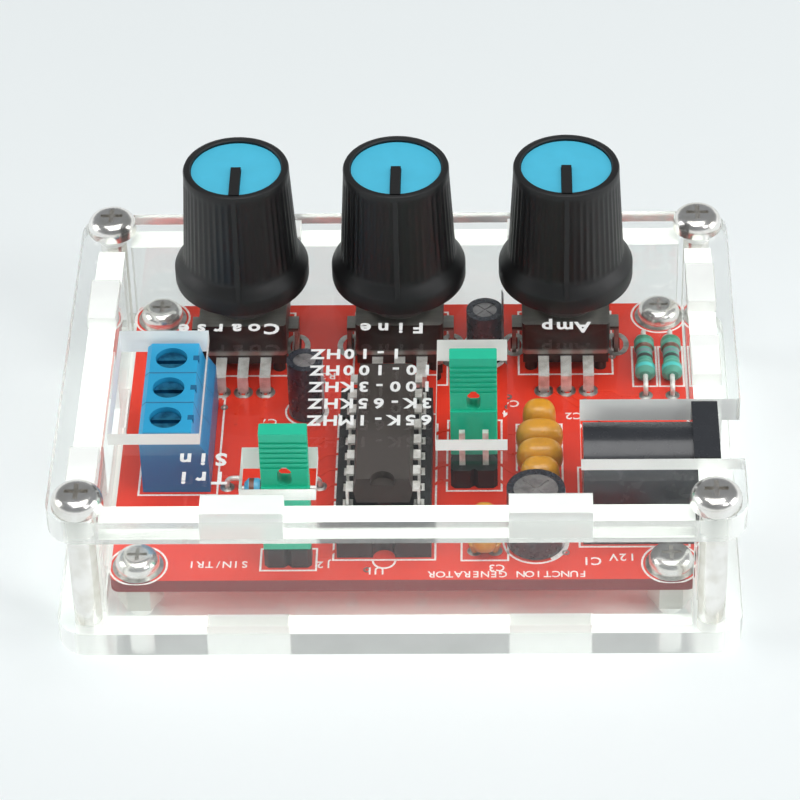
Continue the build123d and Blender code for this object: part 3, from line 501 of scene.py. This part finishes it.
# ---------------------------------------------------------------- shaping
class Shape:
    """Geometry gathered in millimetres and then made into one object."""

    def __init__(self):
        self.mesh = bmesh.new()

    def faces(self, points, faces):
        """Add faces given as lists of places in a list of points."""
        made = [self.mesh.verts.new(Vector(p) * MM) for p in points]
        for face in faces:
            self.mesh.faces.new([made[i] for i in face])

    def block(self, low, high):
        """A box given by its lowest and highest corner."""
        points = [(x, y, z) for x in (low[0], high[0]) for y in (low[1], high[1]) for z in (low[2], high[2])]
        self.faces(points, ((0, 1, 3, 2), (4, 6, 7, 5), (0, 4, 5, 1), (2, 3, 7, 6), (0, 2, 6, 4),
                            (1, 5, 7, 3)))

    def turned(self, profile, at, steps, closed=False, swell=None):
        """A turned shape about an upright axis. swell(angle, row) is added to the radius of each row."""
        rows, points = [], []
        for row, (radius, height) in enumerate(profile):
            if radius == 0:
                rows.append([len(points)] * steps)
                points.append((at[0], at[1], height))
                continue
            rows.append(range(len(points), len(points) + steps))
            for step in range(steps):
                angle = 2 * math.pi * step / steps
                reach = radius + (swell(angle, row) if swell else 0)
                points.append((at[0] + reach * math.cos(angle), at[1] + reach * math.sin(angle), height))
        faces = []
        pairs = list(zip(rows, rows[1:])) + ([(rows[-1], rows[0])] if closed else [])
        for low, high in pairs:
            for step in range(steps):
                after = (step + 1) % steps
                corner = [low[step], low[after], high[after], high[step]]
                faces.append(list(dict.fromkeys(corner)))
        self.faces(points, faces)

    def strip(self, line, width, low, high, closed=False):
        """A flat strip of constant width along a line, from one height to another."""
        line = [Vector(p) for p in line]
        last = len(line) - 1
        points = []
        for i, here in enumerate(line):
            before = (here - line[i - 1]).normalized() if closed or i > 0 else None
            after = (line[(i + 1) % len(line)] - here).normalized() if closed or i < last else None
            before, after = before or after, after or before
            along = (before + after).normalized()
            across = Vector((-along.y, along.x))
            lean = max(0.4, abs(across.dot(Vector((-after.y, after.x)))))
            side = across * (width / 2 / lean)
            left, right = here - side, here + side
            for place, height in ((left, low), (right, low), (right, high), (left, high)):
                points.append((place.x, place.y, height))
        faces = []
        for i in range(len(line) if closed else last):
            a, b = 4 * i, 4 * ((i + 1) % len(line))
            faces += [(a + k, a + (k + 1) % 4, b + (k + 1) % 4, b + k) for k in range(4)]
        if not closed:
            faces += [(3, 2, 1, 0), tuple(4 * last + k for k in range(4))]
        self.faces(points, faces)

    def circle(self, at, radius, width, low, high, steps=40, start=0.0, sweep=360.0):
        """A ring, or part of one, drawn as a strip."""
        full = sweep >= 360
        turns = [math.radians(start + sweep * k / steps) for k in range(steps + (0 if full else 1))]
        line = [(at[0] + radius * math.cos(t), at[1] + radius * math.sin(t)) for t in turns]
        self.strip(line, width, low, high, closed=full)

    def frame(self, low, high, width, bottom, top):
        """A rectangular outline drawn as a strip."""
        line = ((low[0], low[1]), (high[0], low[1]), (high[0], high[1]), (low[0], high[1]))
        self.strip(line, width, bottom, top, closed=True)

    def letters(self, text, centre, height, advance, top, film, turn=180.0, bold=0.0):
        """One line of evenly spaced letters, printed on a face at that height."""
        spin = Matrix.Rotation(math.radians(turn), 4, "Z")
        for place, letter in enumerate(text):
            if letter == " ":
                continue
            glyph = glyph_mesh(letter, bold)
            shift = (place - (len(text) - 1) / 2) * advance
            size = height / CAPITAL
            matrix = (Matrix.Translation(Vector((*centre, top + film / 2 - SUNK / 2)) * MM) @ spin
                      @ Matrix.Translation(Vector((shift, -height / 2, 0)) * MM)
                      @ Matrix.Diagonal((size * MM, size * MM, (film + SUNK) * MM, 1)))
            before = len(self.mesh.verts)
            self.mesh.from_mesh(glyph)
            self.mesh.verts.ensure_lookup_table()
            bmesh.ops.transform(self.mesh, matrix=matrix, verts=self.mesh.verts[before:])

    def done(self, name, body, finish, replaces=(), round_below=35.0):
        """Make the object, dress it and let it ride on its body."""
        bmesh.ops.recalc_face_normals(self.mesh, faces=self.mesh.faces)
        mesh = bpy.data.meshes.new(name)
        self.mesh.to_mesh(mesh)
        self.mesh.free()
        mesh.polygons.foreach_set("use_smooth", [True] * len(mesh.polygons))
        mesh.set_sharp_from_angle(angle=math.radians(round_below))
        mesh.materials.append(finish.material)
        item = bpy.data.objects.new(name, mesh)
        bpy.context.scene.collection.objects.link(item)
        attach(item, body)
        if replaces:
            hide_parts(*replaces)
        return item


GLYPHS = {}
CAPITAL = 0.7                            # height of a capital, as a share of the type size
SUNK = 0.01                              # how far prints, tracks and pads sink into the face below them


def glyph_mesh(letter, bold):
    """One letter of the built-in typeface, one unit thick and centred on its own width."""
    if (letter, bold) not in GLYPHS:
        curve = bpy.data.curves.new("letter", "FONT")
        curve.body, curve.align_x, curve.extrude, curve.offset = letter, "CENTER", 0.5, bold
        curve.resolution_u = 3
        writer = bpy.data.objects.new("letter", curve)
        GLYPHS[letter, bold] = bpy.data.meshes.new_from_object(writer)
        bpy.data.objects.remove(writer)
        bpy.data.curves.remove(curve)
    return GLYPHS[letter, bold]


# ---------------------------------------------------------------- knobs
SKIRT_R, WAIST_R, RIM_R = 7.5, 6.45, 5.85
SKIRT_H, DISC_R, DISC_DEEP = 2.1, 5.0, 1.15
RIBS, STEPS_PER_RIB, RIB_DEPTH = 52, 6, 0.08
POINTER_HALF, RIDGE_HALF = 0.55, 0.26    # half widths of the pointer bar and of the ridge below it
KNOB_FOOT = corners("knob_1")[0].z
KNOB_TOP = corners("knob_1")[1].z
BORE_R, BORE_TOP = 3.03, corners("pot_shaft_1")[1].z + 0.4


def knob(number, axis):
    """A fluted control knob: skirt, ledge, ribbed grip, smooth rim, recessed top with a pointer bar."""
    ledge = KNOB_FOOT + SKIRT_H
    grip = [(WAIST_R - (WAIST_R - RIM_R) * t, ledge + 1.35 + (KNOB_TOP - ledge - 2.3) * t) for t in
            (0, 0.06, 0.5, 0.94, 1)]
    skirt = [(0, BORE_TOP), (BORE_R, BORE_TOP), (BORE_R, KNOB_FOOT), (SKIRT_R - 0.3, KNOB_FOOT),
             (SKIRT_R - 0.06, KNOB_FOOT + 0.1), (SKIRT_R, KNOB_FOOT + 0.35), (SKIRT_R, ledge - 0.25),
             (SKIRT_R - 0.1, ledge), (SKIRT_R - 0.7, ledge + 0.85), (WAIST_R + 0.12, ledge + 1.1)]
    floor = KNOB_TOP - DISC_DEEP
    rim = [(RIM_R, KNOB_TOP - 0.3), (RIM_R - 0.1, KNOB_TOP - 0.08), (RIM_R - 0.3, KNOB_TOP),
           (DISC_R + 0.12, KNOB_TOP), (DISC_R, KNOB_TOP - 0.12), (DISC_R, floor), (0, floor)]
    ribbed = range(len(skirt) + 1, len(skirt) + len(grip) - 1)

    def flutes(angle, row):
        if row not in ribbed:
            return 0.0
        return -RIB_DEPTH * abs(math.sin(angle * RIBS / 2)) ** 1.5

    shape = Shape()
    shape.turned(skirt + grip + rim, axis, RIBS * STEPS_PER_RIB, swell=flutes)
    x, y = axis
    bar = [(x - POINTER_HALF, -DISC_R - 0.3 + y, floor), (x - POINTER_HALF, y, floor),
           (x + POINTER_HALF, y, floor), (x + POINTER_HALF, -DISC_R - 0.3 + y, floor)]
    tops = [(px, py, KNOB_TOP) for px, py, _ in bar]
    shape.faces(bar + tops, ((0, 1, 2, 3), (7, 6, 5, 4), (0, 4, 5, 1), (1, 5, 6, 2), (2, 6, 7, 3),
                             (3, 7, 4, 0)))
    ridge = [(-SKIRT_R + 0.05, ledge - 0.5), (-SKIRT_R + 0.05, ledge + 0.1), (-SKIRT_R + 0.55, ledge + 1.2),
             (-WAIST_R - 0.3, ledge + 1.6), (-RIM_R - 0.16, KNOB_TOP - 0.75), (-RIM_R + 0.1, KNOB_TOP - 0.3),
             (-RIM_R + 0.6, KNOB_TOP - 0.3), (-WAIST_R + 0.7, ledge - 0.5)]
    sides = [[(x + side * RIDGE_HALF, y + across, z) for across, z in ridge] for side in (-1, 1)]
    count = len(ridge)
    walls = [(i, (i + 1) % count, count + (i + 1) % count, count + i) for i in range(count)]
    shape.faces(sides[0] + sides[1], [tuple(range(count)), tuple(range(count, 2 * count))] + walls)
    shape.done(f"fluted_knob_{number}", f"control_{number}", knob_black, (f"knob_{number}",),
               round_below=40)


for number, axis in enumerate(SHAFTS, start=1):
    knob(number, axis)

# ---------------------------------------------------------------- printing on the case
FILM = 0.03                              # thickness of printed ink
LEGEND_BOLD = 0.03                       # thickening of the letters, as a share of the type size
legends = Shape()
NAMES_Y, NAMES_H, NAMES_STEP = 5.45, 1.75, 1.95
for text, (x, _), shift in zip(("Coarse", "Fine", "Amp"), SHAFTS, (-1.2, -0.6, -0.2)):
    legends.letters(text, (x + shift, NAMES_Y), NAMES_H, NAMES_STEP, CASE_TOP, FILM, bold=LEGEND_BOLD)
RANGES = ("1-10HZ", "10-100HZ", "100-3KHZ", "3K-65KHZ", "65K-1MHZ")
RANGE_TEXT_LEFT, RANGE_TEXT_TOP, RANGE_LINE, RANGE_STEP, RANGE_TEXT_H = -9.9, 1.0, 2.82, 1.72, 1.6
for line, text in enumerate(RANGES):
    centre = (RANGE_TEXT_LEFT + len(text) * RANGE_STEP / 2, RANGE_TEXT_TOP - line * RANGE_LINE)
    legends.letters(text, centre, RANGE_TEXT_H, RANGE_STEP, CASE_TOP, FILM, bold=LEGEND_BOLD)
WAVE_TEXT_X, WAVE_TEXT_TOP, WAVE_LINE, WAVE_TEXT_H = -20.6, -16.6, 3.0, 1.9
for line, text in enumerate(("Sin", "Tri")):
    centre = (WAVE_TEXT_X, WAVE_TEXT_TOP - WAVE_LINE * line)
    legends.letters(text, centre, WAVE_TEXT_H, WAVE_TEXT_H, CASE_TOP, FILM, bold=LEGEND_BOLD)
legends.done("case_legends", "case", white_ink)

# ---------------------------------------------------------------- board: print, tracks and pads
PRINT = (DECK - SUNK, DECK + FILM)
LINE = 0.22
outlines = Shape()
for x, y in BOARD_SCREWS:
    outlines.circle((x, y), 3.1, LINE, *PRINT)
outlines.frame((TERMINAL_LOW.x - 0.5, TERMINAL_LOW.y - 0.5),
               (TERMINAL_HIGH.x + 0.7, TERMINAL_HIGH.y + 0.5), LINE, *PRINT)
for low, high, gap in ((RANGE_LOW, RANGE_HIGH, 0.45), (WAVE_LOW, WAVE_HIGH, 0.45),
                       (SOCKET_LOW, SOCKET_HIGH, 0.4)):
    outlines.frame((low.x - gap, low.y - gap), (high.x + gap, high.y + gap), LINE, *PRINT)
outlines.circle((CHIP_X, SOCKET_LOW.y - 0.5), 1.2, LINE, *PRINT, steps=14, start=180, sweep=180)
outlines.frame((JACK_LOW.x - 0.4, JACK_LOW.y - 0.4), (BOARD_HIGH.x - 0.5, JACK_HIGH.y + 0.4), LINE, *PRINT)
for x, y in SHAFTS:
    outlines.frame((x - 5.3, y - 5.3), (x + 5.3, y + 6.0), LINE, *PRINT)
for x, y, radius, _ in CANS:
    outlines.circle((x, y), radius + 0.35, LINE, *PRINT)
    outlines.circle((x, y), radius + 0.1, LINE * 2, DECK - SUNK, DECK + 0.025, steps=20, start=-60, sweep=120)
for x, y, _ in DIPPED:
    outlines.frame((x - 2.5, y - 1.5), (x + 2.5, y + 1.5), LINE, *PRINT)
for x in RESISTOR_XS:
    outlines.frame((x - 1.35, RESISTOR_Y - 3.5), (x + 1.35, RESISTOR_Y + 3.5), LINE, *PRINT)
outlines.frame((SINGLE_X - 3.5, SINGLE_Y - 1.35), (SINGLE_X + 3.5, SINGLE_Y + 1.35), LINE, *PRINT)
# text, x, y, height and spacing of each note
NOTES = (("FUNCTION GENERATOR", 11.6, -21.0, 0.95, 0.95), ("SIN/TRI", -19.4, -19.3, 1.0, 0.95),
         ("U1", CHIP_X - 1, -20.4, 1.1, 1.0), ("C1", 20.6, -19.0, 1.2, 1.05), ("C3", 10.4, -20.0, 1.0, 0.9),
         ("R1", -22.2, -9.9, 1.0, 0.9), ("R5", 26.4, 3.6, 1.1, 1.0), ("C7", -15.0, 1.2, 1.1, 1.0),
         ("R4", 28.7, 4.2, 1.0, 0.9), ("C4", 12.0, 4.2, 1.1, 1.0), ("R2", -9.5, -14.6, 1.0, 0.9),
         ("C2", 19.0, 2.0, 1.1, 1.0), ("R3", -8.6, 9.2, 1.1, 1.0), ("J1", 8.0, 5.0, 1.0, 0.9),
         ("J2", -8.0, -19.4, 1.0, 0.9), ("12V", 24.0, -18.4, 1.1, 1.0), ("OUT", -29.8, -14.0, 1.0, 0.9))
for text, x, y, height, step in NOTES:
    outlines.letters(text, (x, y), height, step, DECK, FILM, bold=0.01)
outlines.done("board_print", "case", silk_ink)

COPPER = 0.045                           # how far a masked track stands up
TRACK_WIDE, TRACK_WIDE_UNDER = 0.4, 0.6
TRACK_TOP = (DECK - SUNK, DECK + COPPER)
TRACK_UNDER = (UNDERSIDE - COPPER, UNDERSIDE + SUNK)


def routed(start, end, bend):
    """A track's line: straight out, a 45-degree run, and straight in."""
    (x0, y0), (x1, y1) = start, end
    run = min(abs(x1 - x0), abs(y1 - y0))
    sx, sy = math.copysign(run, x1 - x0), math.copysign(run, y1 - y0)
    if abs(x1 - x0) > abs(y1 - y0):
        near = (x0 + (x1 - x0 - sx) * bend, y0)
    else:
        near = (x0, y0 + (y1 - y0 - sy) * bend)
    far = (near[0] + sx, near[1] + sy)
    line = [start, near, far, end]
    return [p for i, p in enumerate(line) if i == 0 or math.dist(p, line[i - 1]) > 0.05]


tracks = Shape()
# each route's start, end and where its 45-degree run lies, from 0 at the start to 1 at the end
TOP_ROUTES = [(CHIP_PINS[k], (CHIP_PINS[k][0] - 3.2 - 0.5 * k, CHIP_PINS[k][1] - 1.0), 0.6) for k in range(7)]
TOP_ROUTES += [(CHIP_PINS[8 + k], (RANGE_X - PITCH / 2, RANGE_ROWS[max(0, k - 3)]), 0.4)
               for k in (3, 4, 6, 7)]
TOP_ROUTES += [((RANGE_X + PITCH / 2, RANGE_ROWS[k]), (CAPACITOR_TRACKS_X, DIPPED[3 - k][1]), 0.5)
               for k in range(4)]
TOP_ROUTES += [(POT_PINS[k], (POT_PINS[k][0] + 0.4 * k - 1, 1.4 - 0.6 * k), 0.4) for k in range(3)]
TOP_ROUTES += [(POT_PINS[6 + k], (24.0 - k, 2.0 - 0.8 * k), 0.3) for k in range(3)]
TOP_ROUTES += [(POT_PINS[3], (-5.0, 3.2), 0.5),
               (POT_PINS[8], (RESISTOR_XS[0], RESISTOR_Y - RESISTOR_SPAN / 2), 0.5)]
for start, end, bend in TOP_ROUTES:
    tracks.strip(routed(start, end, bend), TRACK_WIDE, *TRACK_TOP)
UNDER_ROUTES = [(TERMINAL_PINS[0], POT_PINS[2], 0.4), (TERMINAL_PINS[1], CHIP_PINS[5], 0.6),
                (TERMINAL_PINS[2], (WAVE_X - PITCH / 2, WAVE_Y), 0.3),
                ((WAVE_X + PITCH / 2, WAVE_Y), CHIP_PINS[0], 0.4), (CHIP_PINS[7], POT_PINS[4], 0.5),
                (CHIP_PINS[15], POT_PINS[5], 0.3), (CHIP_PINS[8], (CAN_X - CAN_R / 2, CAN_Y), 0.6),
                (POT_PINS[7], (RESISTOR_XS[1], RESISTOR_Y - RESISTOR_SPAN / 2), 0.6),
                (JACK_PINS[0], (CAN_X + CAN_R / 2, CAN_Y), 0.5), (JACK_PINS[1], POT_PINS[6], 0.6),
                (POT_PINS[0], (-29.0, 9.0), 0.3),
                ((RESISTOR_XS[0], RESISTOR_Y + RESISTOR_SPAN / 2), (24.0, 19.5), 0.5),
                ((RESISTOR_XS[1], RESISTOR_Y + RESISTOR_SPAN / 2), (21.0, 20.6), 0.5)]
for start, end, bend in UNDER_ROUTES:
    tracks.strip(routed(start, end, bend), TRACK_WIDE_UNDER, *TRACK_UNDER)
tracks.done("copper_tracks", "case", copper_track)

pads = Shape()
# places, hole radius and outer radius of each kind of pad
PAD_SIZES = ((HEADER_PINS, 0.5, 0.9), (CHIP_PINS, 0.4, 0.8), (POT_PINS, 0.65, 1.1),
             (TERMINAL_PINS, 0.7, 1.25), (LEADS, 0.38, 0.8))
for places, hole, rim in PAD_SIZES:
    for at in places:
        shoulder = rim * 0.7 + hole * 0.3
        pads.turned([(hole, DECK - SUNK), (rim, DECK - SUNK), (rim, DECK + 0.03), (shoulder, DECK + 0.06),
                     (hole + 0.02, DECK + 0.16), (hole, DECK + 0.16)], at, 20, closed=True)
LUG_PAD_X, LUG_PAD_Y, LUG_PAD_WIDE, LUG_PAD_STEPS = 1.15, 1.75, 0.62, 28
for x, y in POT_LUGS:
    turns = [2 * math.pi * k / LUG_PAD_STEPS for k in range(LUG_PAD_STEPS)]
    outline = [(x + LUG_PAD_X * math.cos(t), y + LUG_PAD_Y * math.sin(t)) for t in turns]
    pads.strip(outline, LUG_PAD_WIDE, DECK - SUNK, DECK + 0.07, closed=True)
LAND_IN, LAND_OUT = 1.4, 2.75            # bare ring under each board screw
for at in BOARD_SCREWS:
    low, high = DECK - SUNK, DECK + 0.02
    pads.turned([(LAND_IN, low), (LAND_OUT, low), (LAND_OUT, high), (LAND_IN, high)], at, 40, closed=True)
VIAS = ((-6.9, 1.9), (-3.4, -20.2), (11.8, 5.4), (20.4, 4.6), (-24.4, 11.2), (23.6, 12.4), (-12.6, -4.2),
        (17.9, -17.6), (-20.0, 3.8), (6.2, 7.4), (-9.2, 8.2), (12.9, -12.4))
VIA_IN, VIA_OUT = 0.2, 0.42
for at in VIAS:
    for face, out in ((DECK, 1), (UNDERSIDE, -1)):
        crown = face + out * 0.03
        pads.turned([(VIA_IN, face), (VIA_OUT, face), (VIA_OUT, crown), (VIA_IN, crown)], at, 14, closed=True)
pads.done("solder_pads", "case", solder)

# ---------------------------------------------------------------- capacitors
stripes = Shape()
STRIPE_HALF, STRIPE_STEPS = 26, 10       # half of the stripe's sweep, in degrees
for x, y, radius, height in CANS:
    low, high = DECK + 0.4, DECK + height - 0.25
    arc = [math.radians(-STRIPE_HALF + 2 * STRIPE_HALF * k / STRIPE_STEPS) for k in range(STRIPE_STEPS + 1)]
    inner = [(x + (radius - SUNK) * math.cos(t), y + (radius - SUNK) * math.sin(t)) for t in arc]
    outer = [(x + (radius + FILM) * math.cos(t), y + (radius + FILM) * math.sin(t)) for t in arc]
    rim = inner + outer[::-1]
    count = len(rim)
    points = [(px, py, z) for z in (low, high) for px, py in rim]
    caps = [(i, i + 1, count - 2 - i, count - 1 - i) for i in range(STRIPE_STEPS)]
    caps += [tuple(count + k for k in face_ring) for face_ring in caps]
    walls = [(i, (i + 1) % count, count + (i + 1) % count, count + i) for i in range(count)]
    stripes.faces(points, caps + walls)
stripes.done("polarity_stripes", "case", stripe_ink)

DIPPED_THICK = 3.2
DIPPED_FORWARD = 0.35                    # how far each dip stands in front of its leads' holes
DIPPED_FOOT = DECK + 0.65
LARGE_DIP, TALL, SHORT = 3.5, 4.7, 4.1   # a dip wider than the first stands TALL above the board


def dipped_blob(shape, x, y, width, foot, top, steps=28, rings=16):
    """A rounded lens of epoxy, wider along X than it is thick along Y."""
    profile = []
    middle, half = (foot + top) / 2, (top - foot) / 2
    for ring in range(rings + 1):
        rise = -math.pi / 2 + math.pi * ring / rings
        reach = math.cos(rise) ** 0.6
        profile.append((reach, middle + half * math.copysign(abs(math.sin(rise)) ** 0.85, math.sin(rise))))
    points = [(x, y, profile[0][1])]
    for reach, height in profile[1:-1]:
        for step in range(steps):
            turn = 2 * math.pi * step / steps
            across = math.copysign(abs(math.cos(turn)) ** 0.75, math.cos(turn)) * width / 2
            thick = math.copysign(abs(math.sin(turn)) ** 0.9, math.sin(turn)) * min(width, DIPPED_THICK) / 2
            points.append((x + across * reach, y + thick * reach, height))
    points.append((x, y, profile[-1][1]))
    last = len(points) - 1
    faces = []
    for step in range(steps):
        after = (step + 1) % steps
        faces.append((0, 1 + after, 1 + step))
        faces.append((last, last - steps + step, last - steps + after))
        for ring in range(rings - 2):
            a, b = 1 + ring * steps, 1 + (ring + 1) * steps
            faces.append((a + step, a + after, b + after, b + step))
    shape.faces(points, faces)


SLEEVE_DOWN_LEAD = [(0, DECK + 0.35), (0.34, DECK + 0.35), (0.55, DECK + 1.0), (0.7, DECK + 1.6),
                    (0, DECK + 1.9)]
blobs = Shape()
for x, y, width in DIPPED:
    middle = y - DIPPED_FORWARD
    dipped_blob(blobs, x, middle, width, DIPPED_FOOT, DECK + (TALL if width > LARGE_DIP else SHORT))
    for side in (-1, 1):
        blobs.turned(SLEEVE_DOWN_LEAD, (x + side * DIPPED_LEAD, middle), 16)
blobs.done("epoxy_dipped_capacitors", "case", dipped, ("dipped_capacitors",), round_below=60)

# ---------------------------------------------------------------- screw terminal notches, as painted shade
NOTCH_SHADE_HALF, NOTCH_SHADE_OUT, NOTCH_SHADE_IN, NOTCH_SHADE_DEEP, NOTCH_SHADE_PROUD = 0.4, 2.2, 1.55, 0.7, 0.012
# painted shade: a dark blue patch on the terminal's top by each pole, a hair proud of it, stands for the
# shade in a notch
notch_shades = Shape()
for y in SCREW_ROWS:
    notch_shades.block((TERMINAL_HIGH.x - NOTCH_SHADE_OUT, y - NOTCH_SHADE_HALF, TERMINAL_HIGH.z - NOTCH_SHADE_DEEP),
                  (TERMINAL_HIGH.x - NOTCH_SHADE_IN, y + NOTCH_SHADE_HALF, TERMINAL_HIGH.z + NOTCH_SHADE_PROUD))
notch_shades.done("terminal_notch_shades", "case", recess_shade_blue)

# ---------------------------------------------------------------- stage, lamps and camera
FLOOR_HALF, FLOOR_Z = 3000.0, -0.02
FLOOR_CORNERS = ((-FLOOR_HALF, -FLOOR_HALF), (FLOOR_HALF, -FLOOR_HALF), (FLOOR_HALF, FLOOR_HALF),
                 (-FLOOR_HALF, FLOOR_HALF))
ground = Shape()
ground.faces([(x, y, FLOOR_Z) for x, y in FLOOR_CORNERS], [(0, 1, 2, 3)])
floor_finish = Finish("studio_paper", Specular_IOR_Level=0.1)
paper = floor_finish.mix(floor_finish.noise(300.0, 2.0), paint("f0f5f5"), paint("f4f8f8"))
floor_finish.set(Base_Color=paper, Roughness=floor_finish.noise(80.0) * 0.1 + 0.8)
bmesh.ops.recalc_face_normals(ground.mesh, faces=ground.mesh.faces)
floor_mesh = bpy.data.meshes.new("studio_floor")
ground.mesh.to_mesh(floor_mesh)
floor_mesh.materials.append(floor_finish.material)
floor = bpy.data.objects.new("studio_floor", floor_mesh)
bpy.context.scene.collection.objects.link(floor)

scene = bpy.context.scene
scene.view_settings.view_transform = "Standard"
world = bpy.data.worlds.new("studio_air")
world.use_nodes = True
WALL_LIGHT, CEILING_LIGHT = (1.0, 1.03, 1.04), (0.17, 0.18, 0.19)
air = Wiring(world.node_tree, "Generated")
height = air.add("ShaderNodeSeparateXYZ", {}, [air.place], out="Z")
sky = air.mix(height.rise(0.1, 0.42), WALL_LIGHT, CEILING_LIGHT)
air.feed(air.tree.nodes["Background"].inputs["Color"], sky)
scene.world = world


def softbox(name, place, size, power, aim=(0, 0, 12)):
    """A square area lamp at a place in millimetres, pointed at the part."""
    light = bpy.data.lights.new(name, "AREA")
    light.shape, light.size, light.energy = "SQUARE", size * MM, power
    lamp = bpy.data.objects.new(name, light)
    lamp.location = Vector(place) * MM
    lamp.rotation_euler = (Vector(aim) - Vector(place)).to_track_quat("-Z", "Y").to_euler()
    scene.collection.objects.link(lamp)


# name, place, side in millimetres and power in watts
LAMPS = (("overhead_softbox", (20, -60, 640), 480, 2.4), ("right_softbox", (560, -40, 260), 300, 0.85),
         ("left_softbox", (-560, 20, 300), 300, 0.8), ("front_softbox", (400, -320, 480), 150, 0.55))
for lamp in LAMPS:
    softbox(*lamp)

SENSOR, FOCAL_LENGTH = 36.0, 167.6385    # millimetres
TILT, YAW, ROLL = (math.radians(a) for a in (39.897, -2.199, -1.721))
TARGET, DISTANCE = Vector((-0.297, 3.884, 10.0)), 416.37
ahead = Vector((math.sin(YAW) * math.cos(TILT), math.cos(YAW) * math.cos(TILT), -math.sin(TILT)))
level = Vector((math.cos(YAW), -math.sin(YAW), 0))
upright = level.cross(ahead)
right = level * math.cos(ROLL) + upright * math.sin(ROLL)
up = upright * math.cos(ROLL) - level * math.sin(ROLL)
lens = bpy.data.cameras.new("camera")
lens.sensor_width, lens.lens = SENSOR, FOCAL_LENGTH
lens.clip_start, lens.clip_end = 0.01, 20.0
camera = bpy.data.objects.new("camera", lens)
camera.matrix_world = (Matrix.Translation((TARGET - ahead * DISTANCE) * MM)
                       @ Matrix((right, up, -ahead)).transposed().to_4x4())
scene.collection.objects.link(camera)
scene.camera = camera
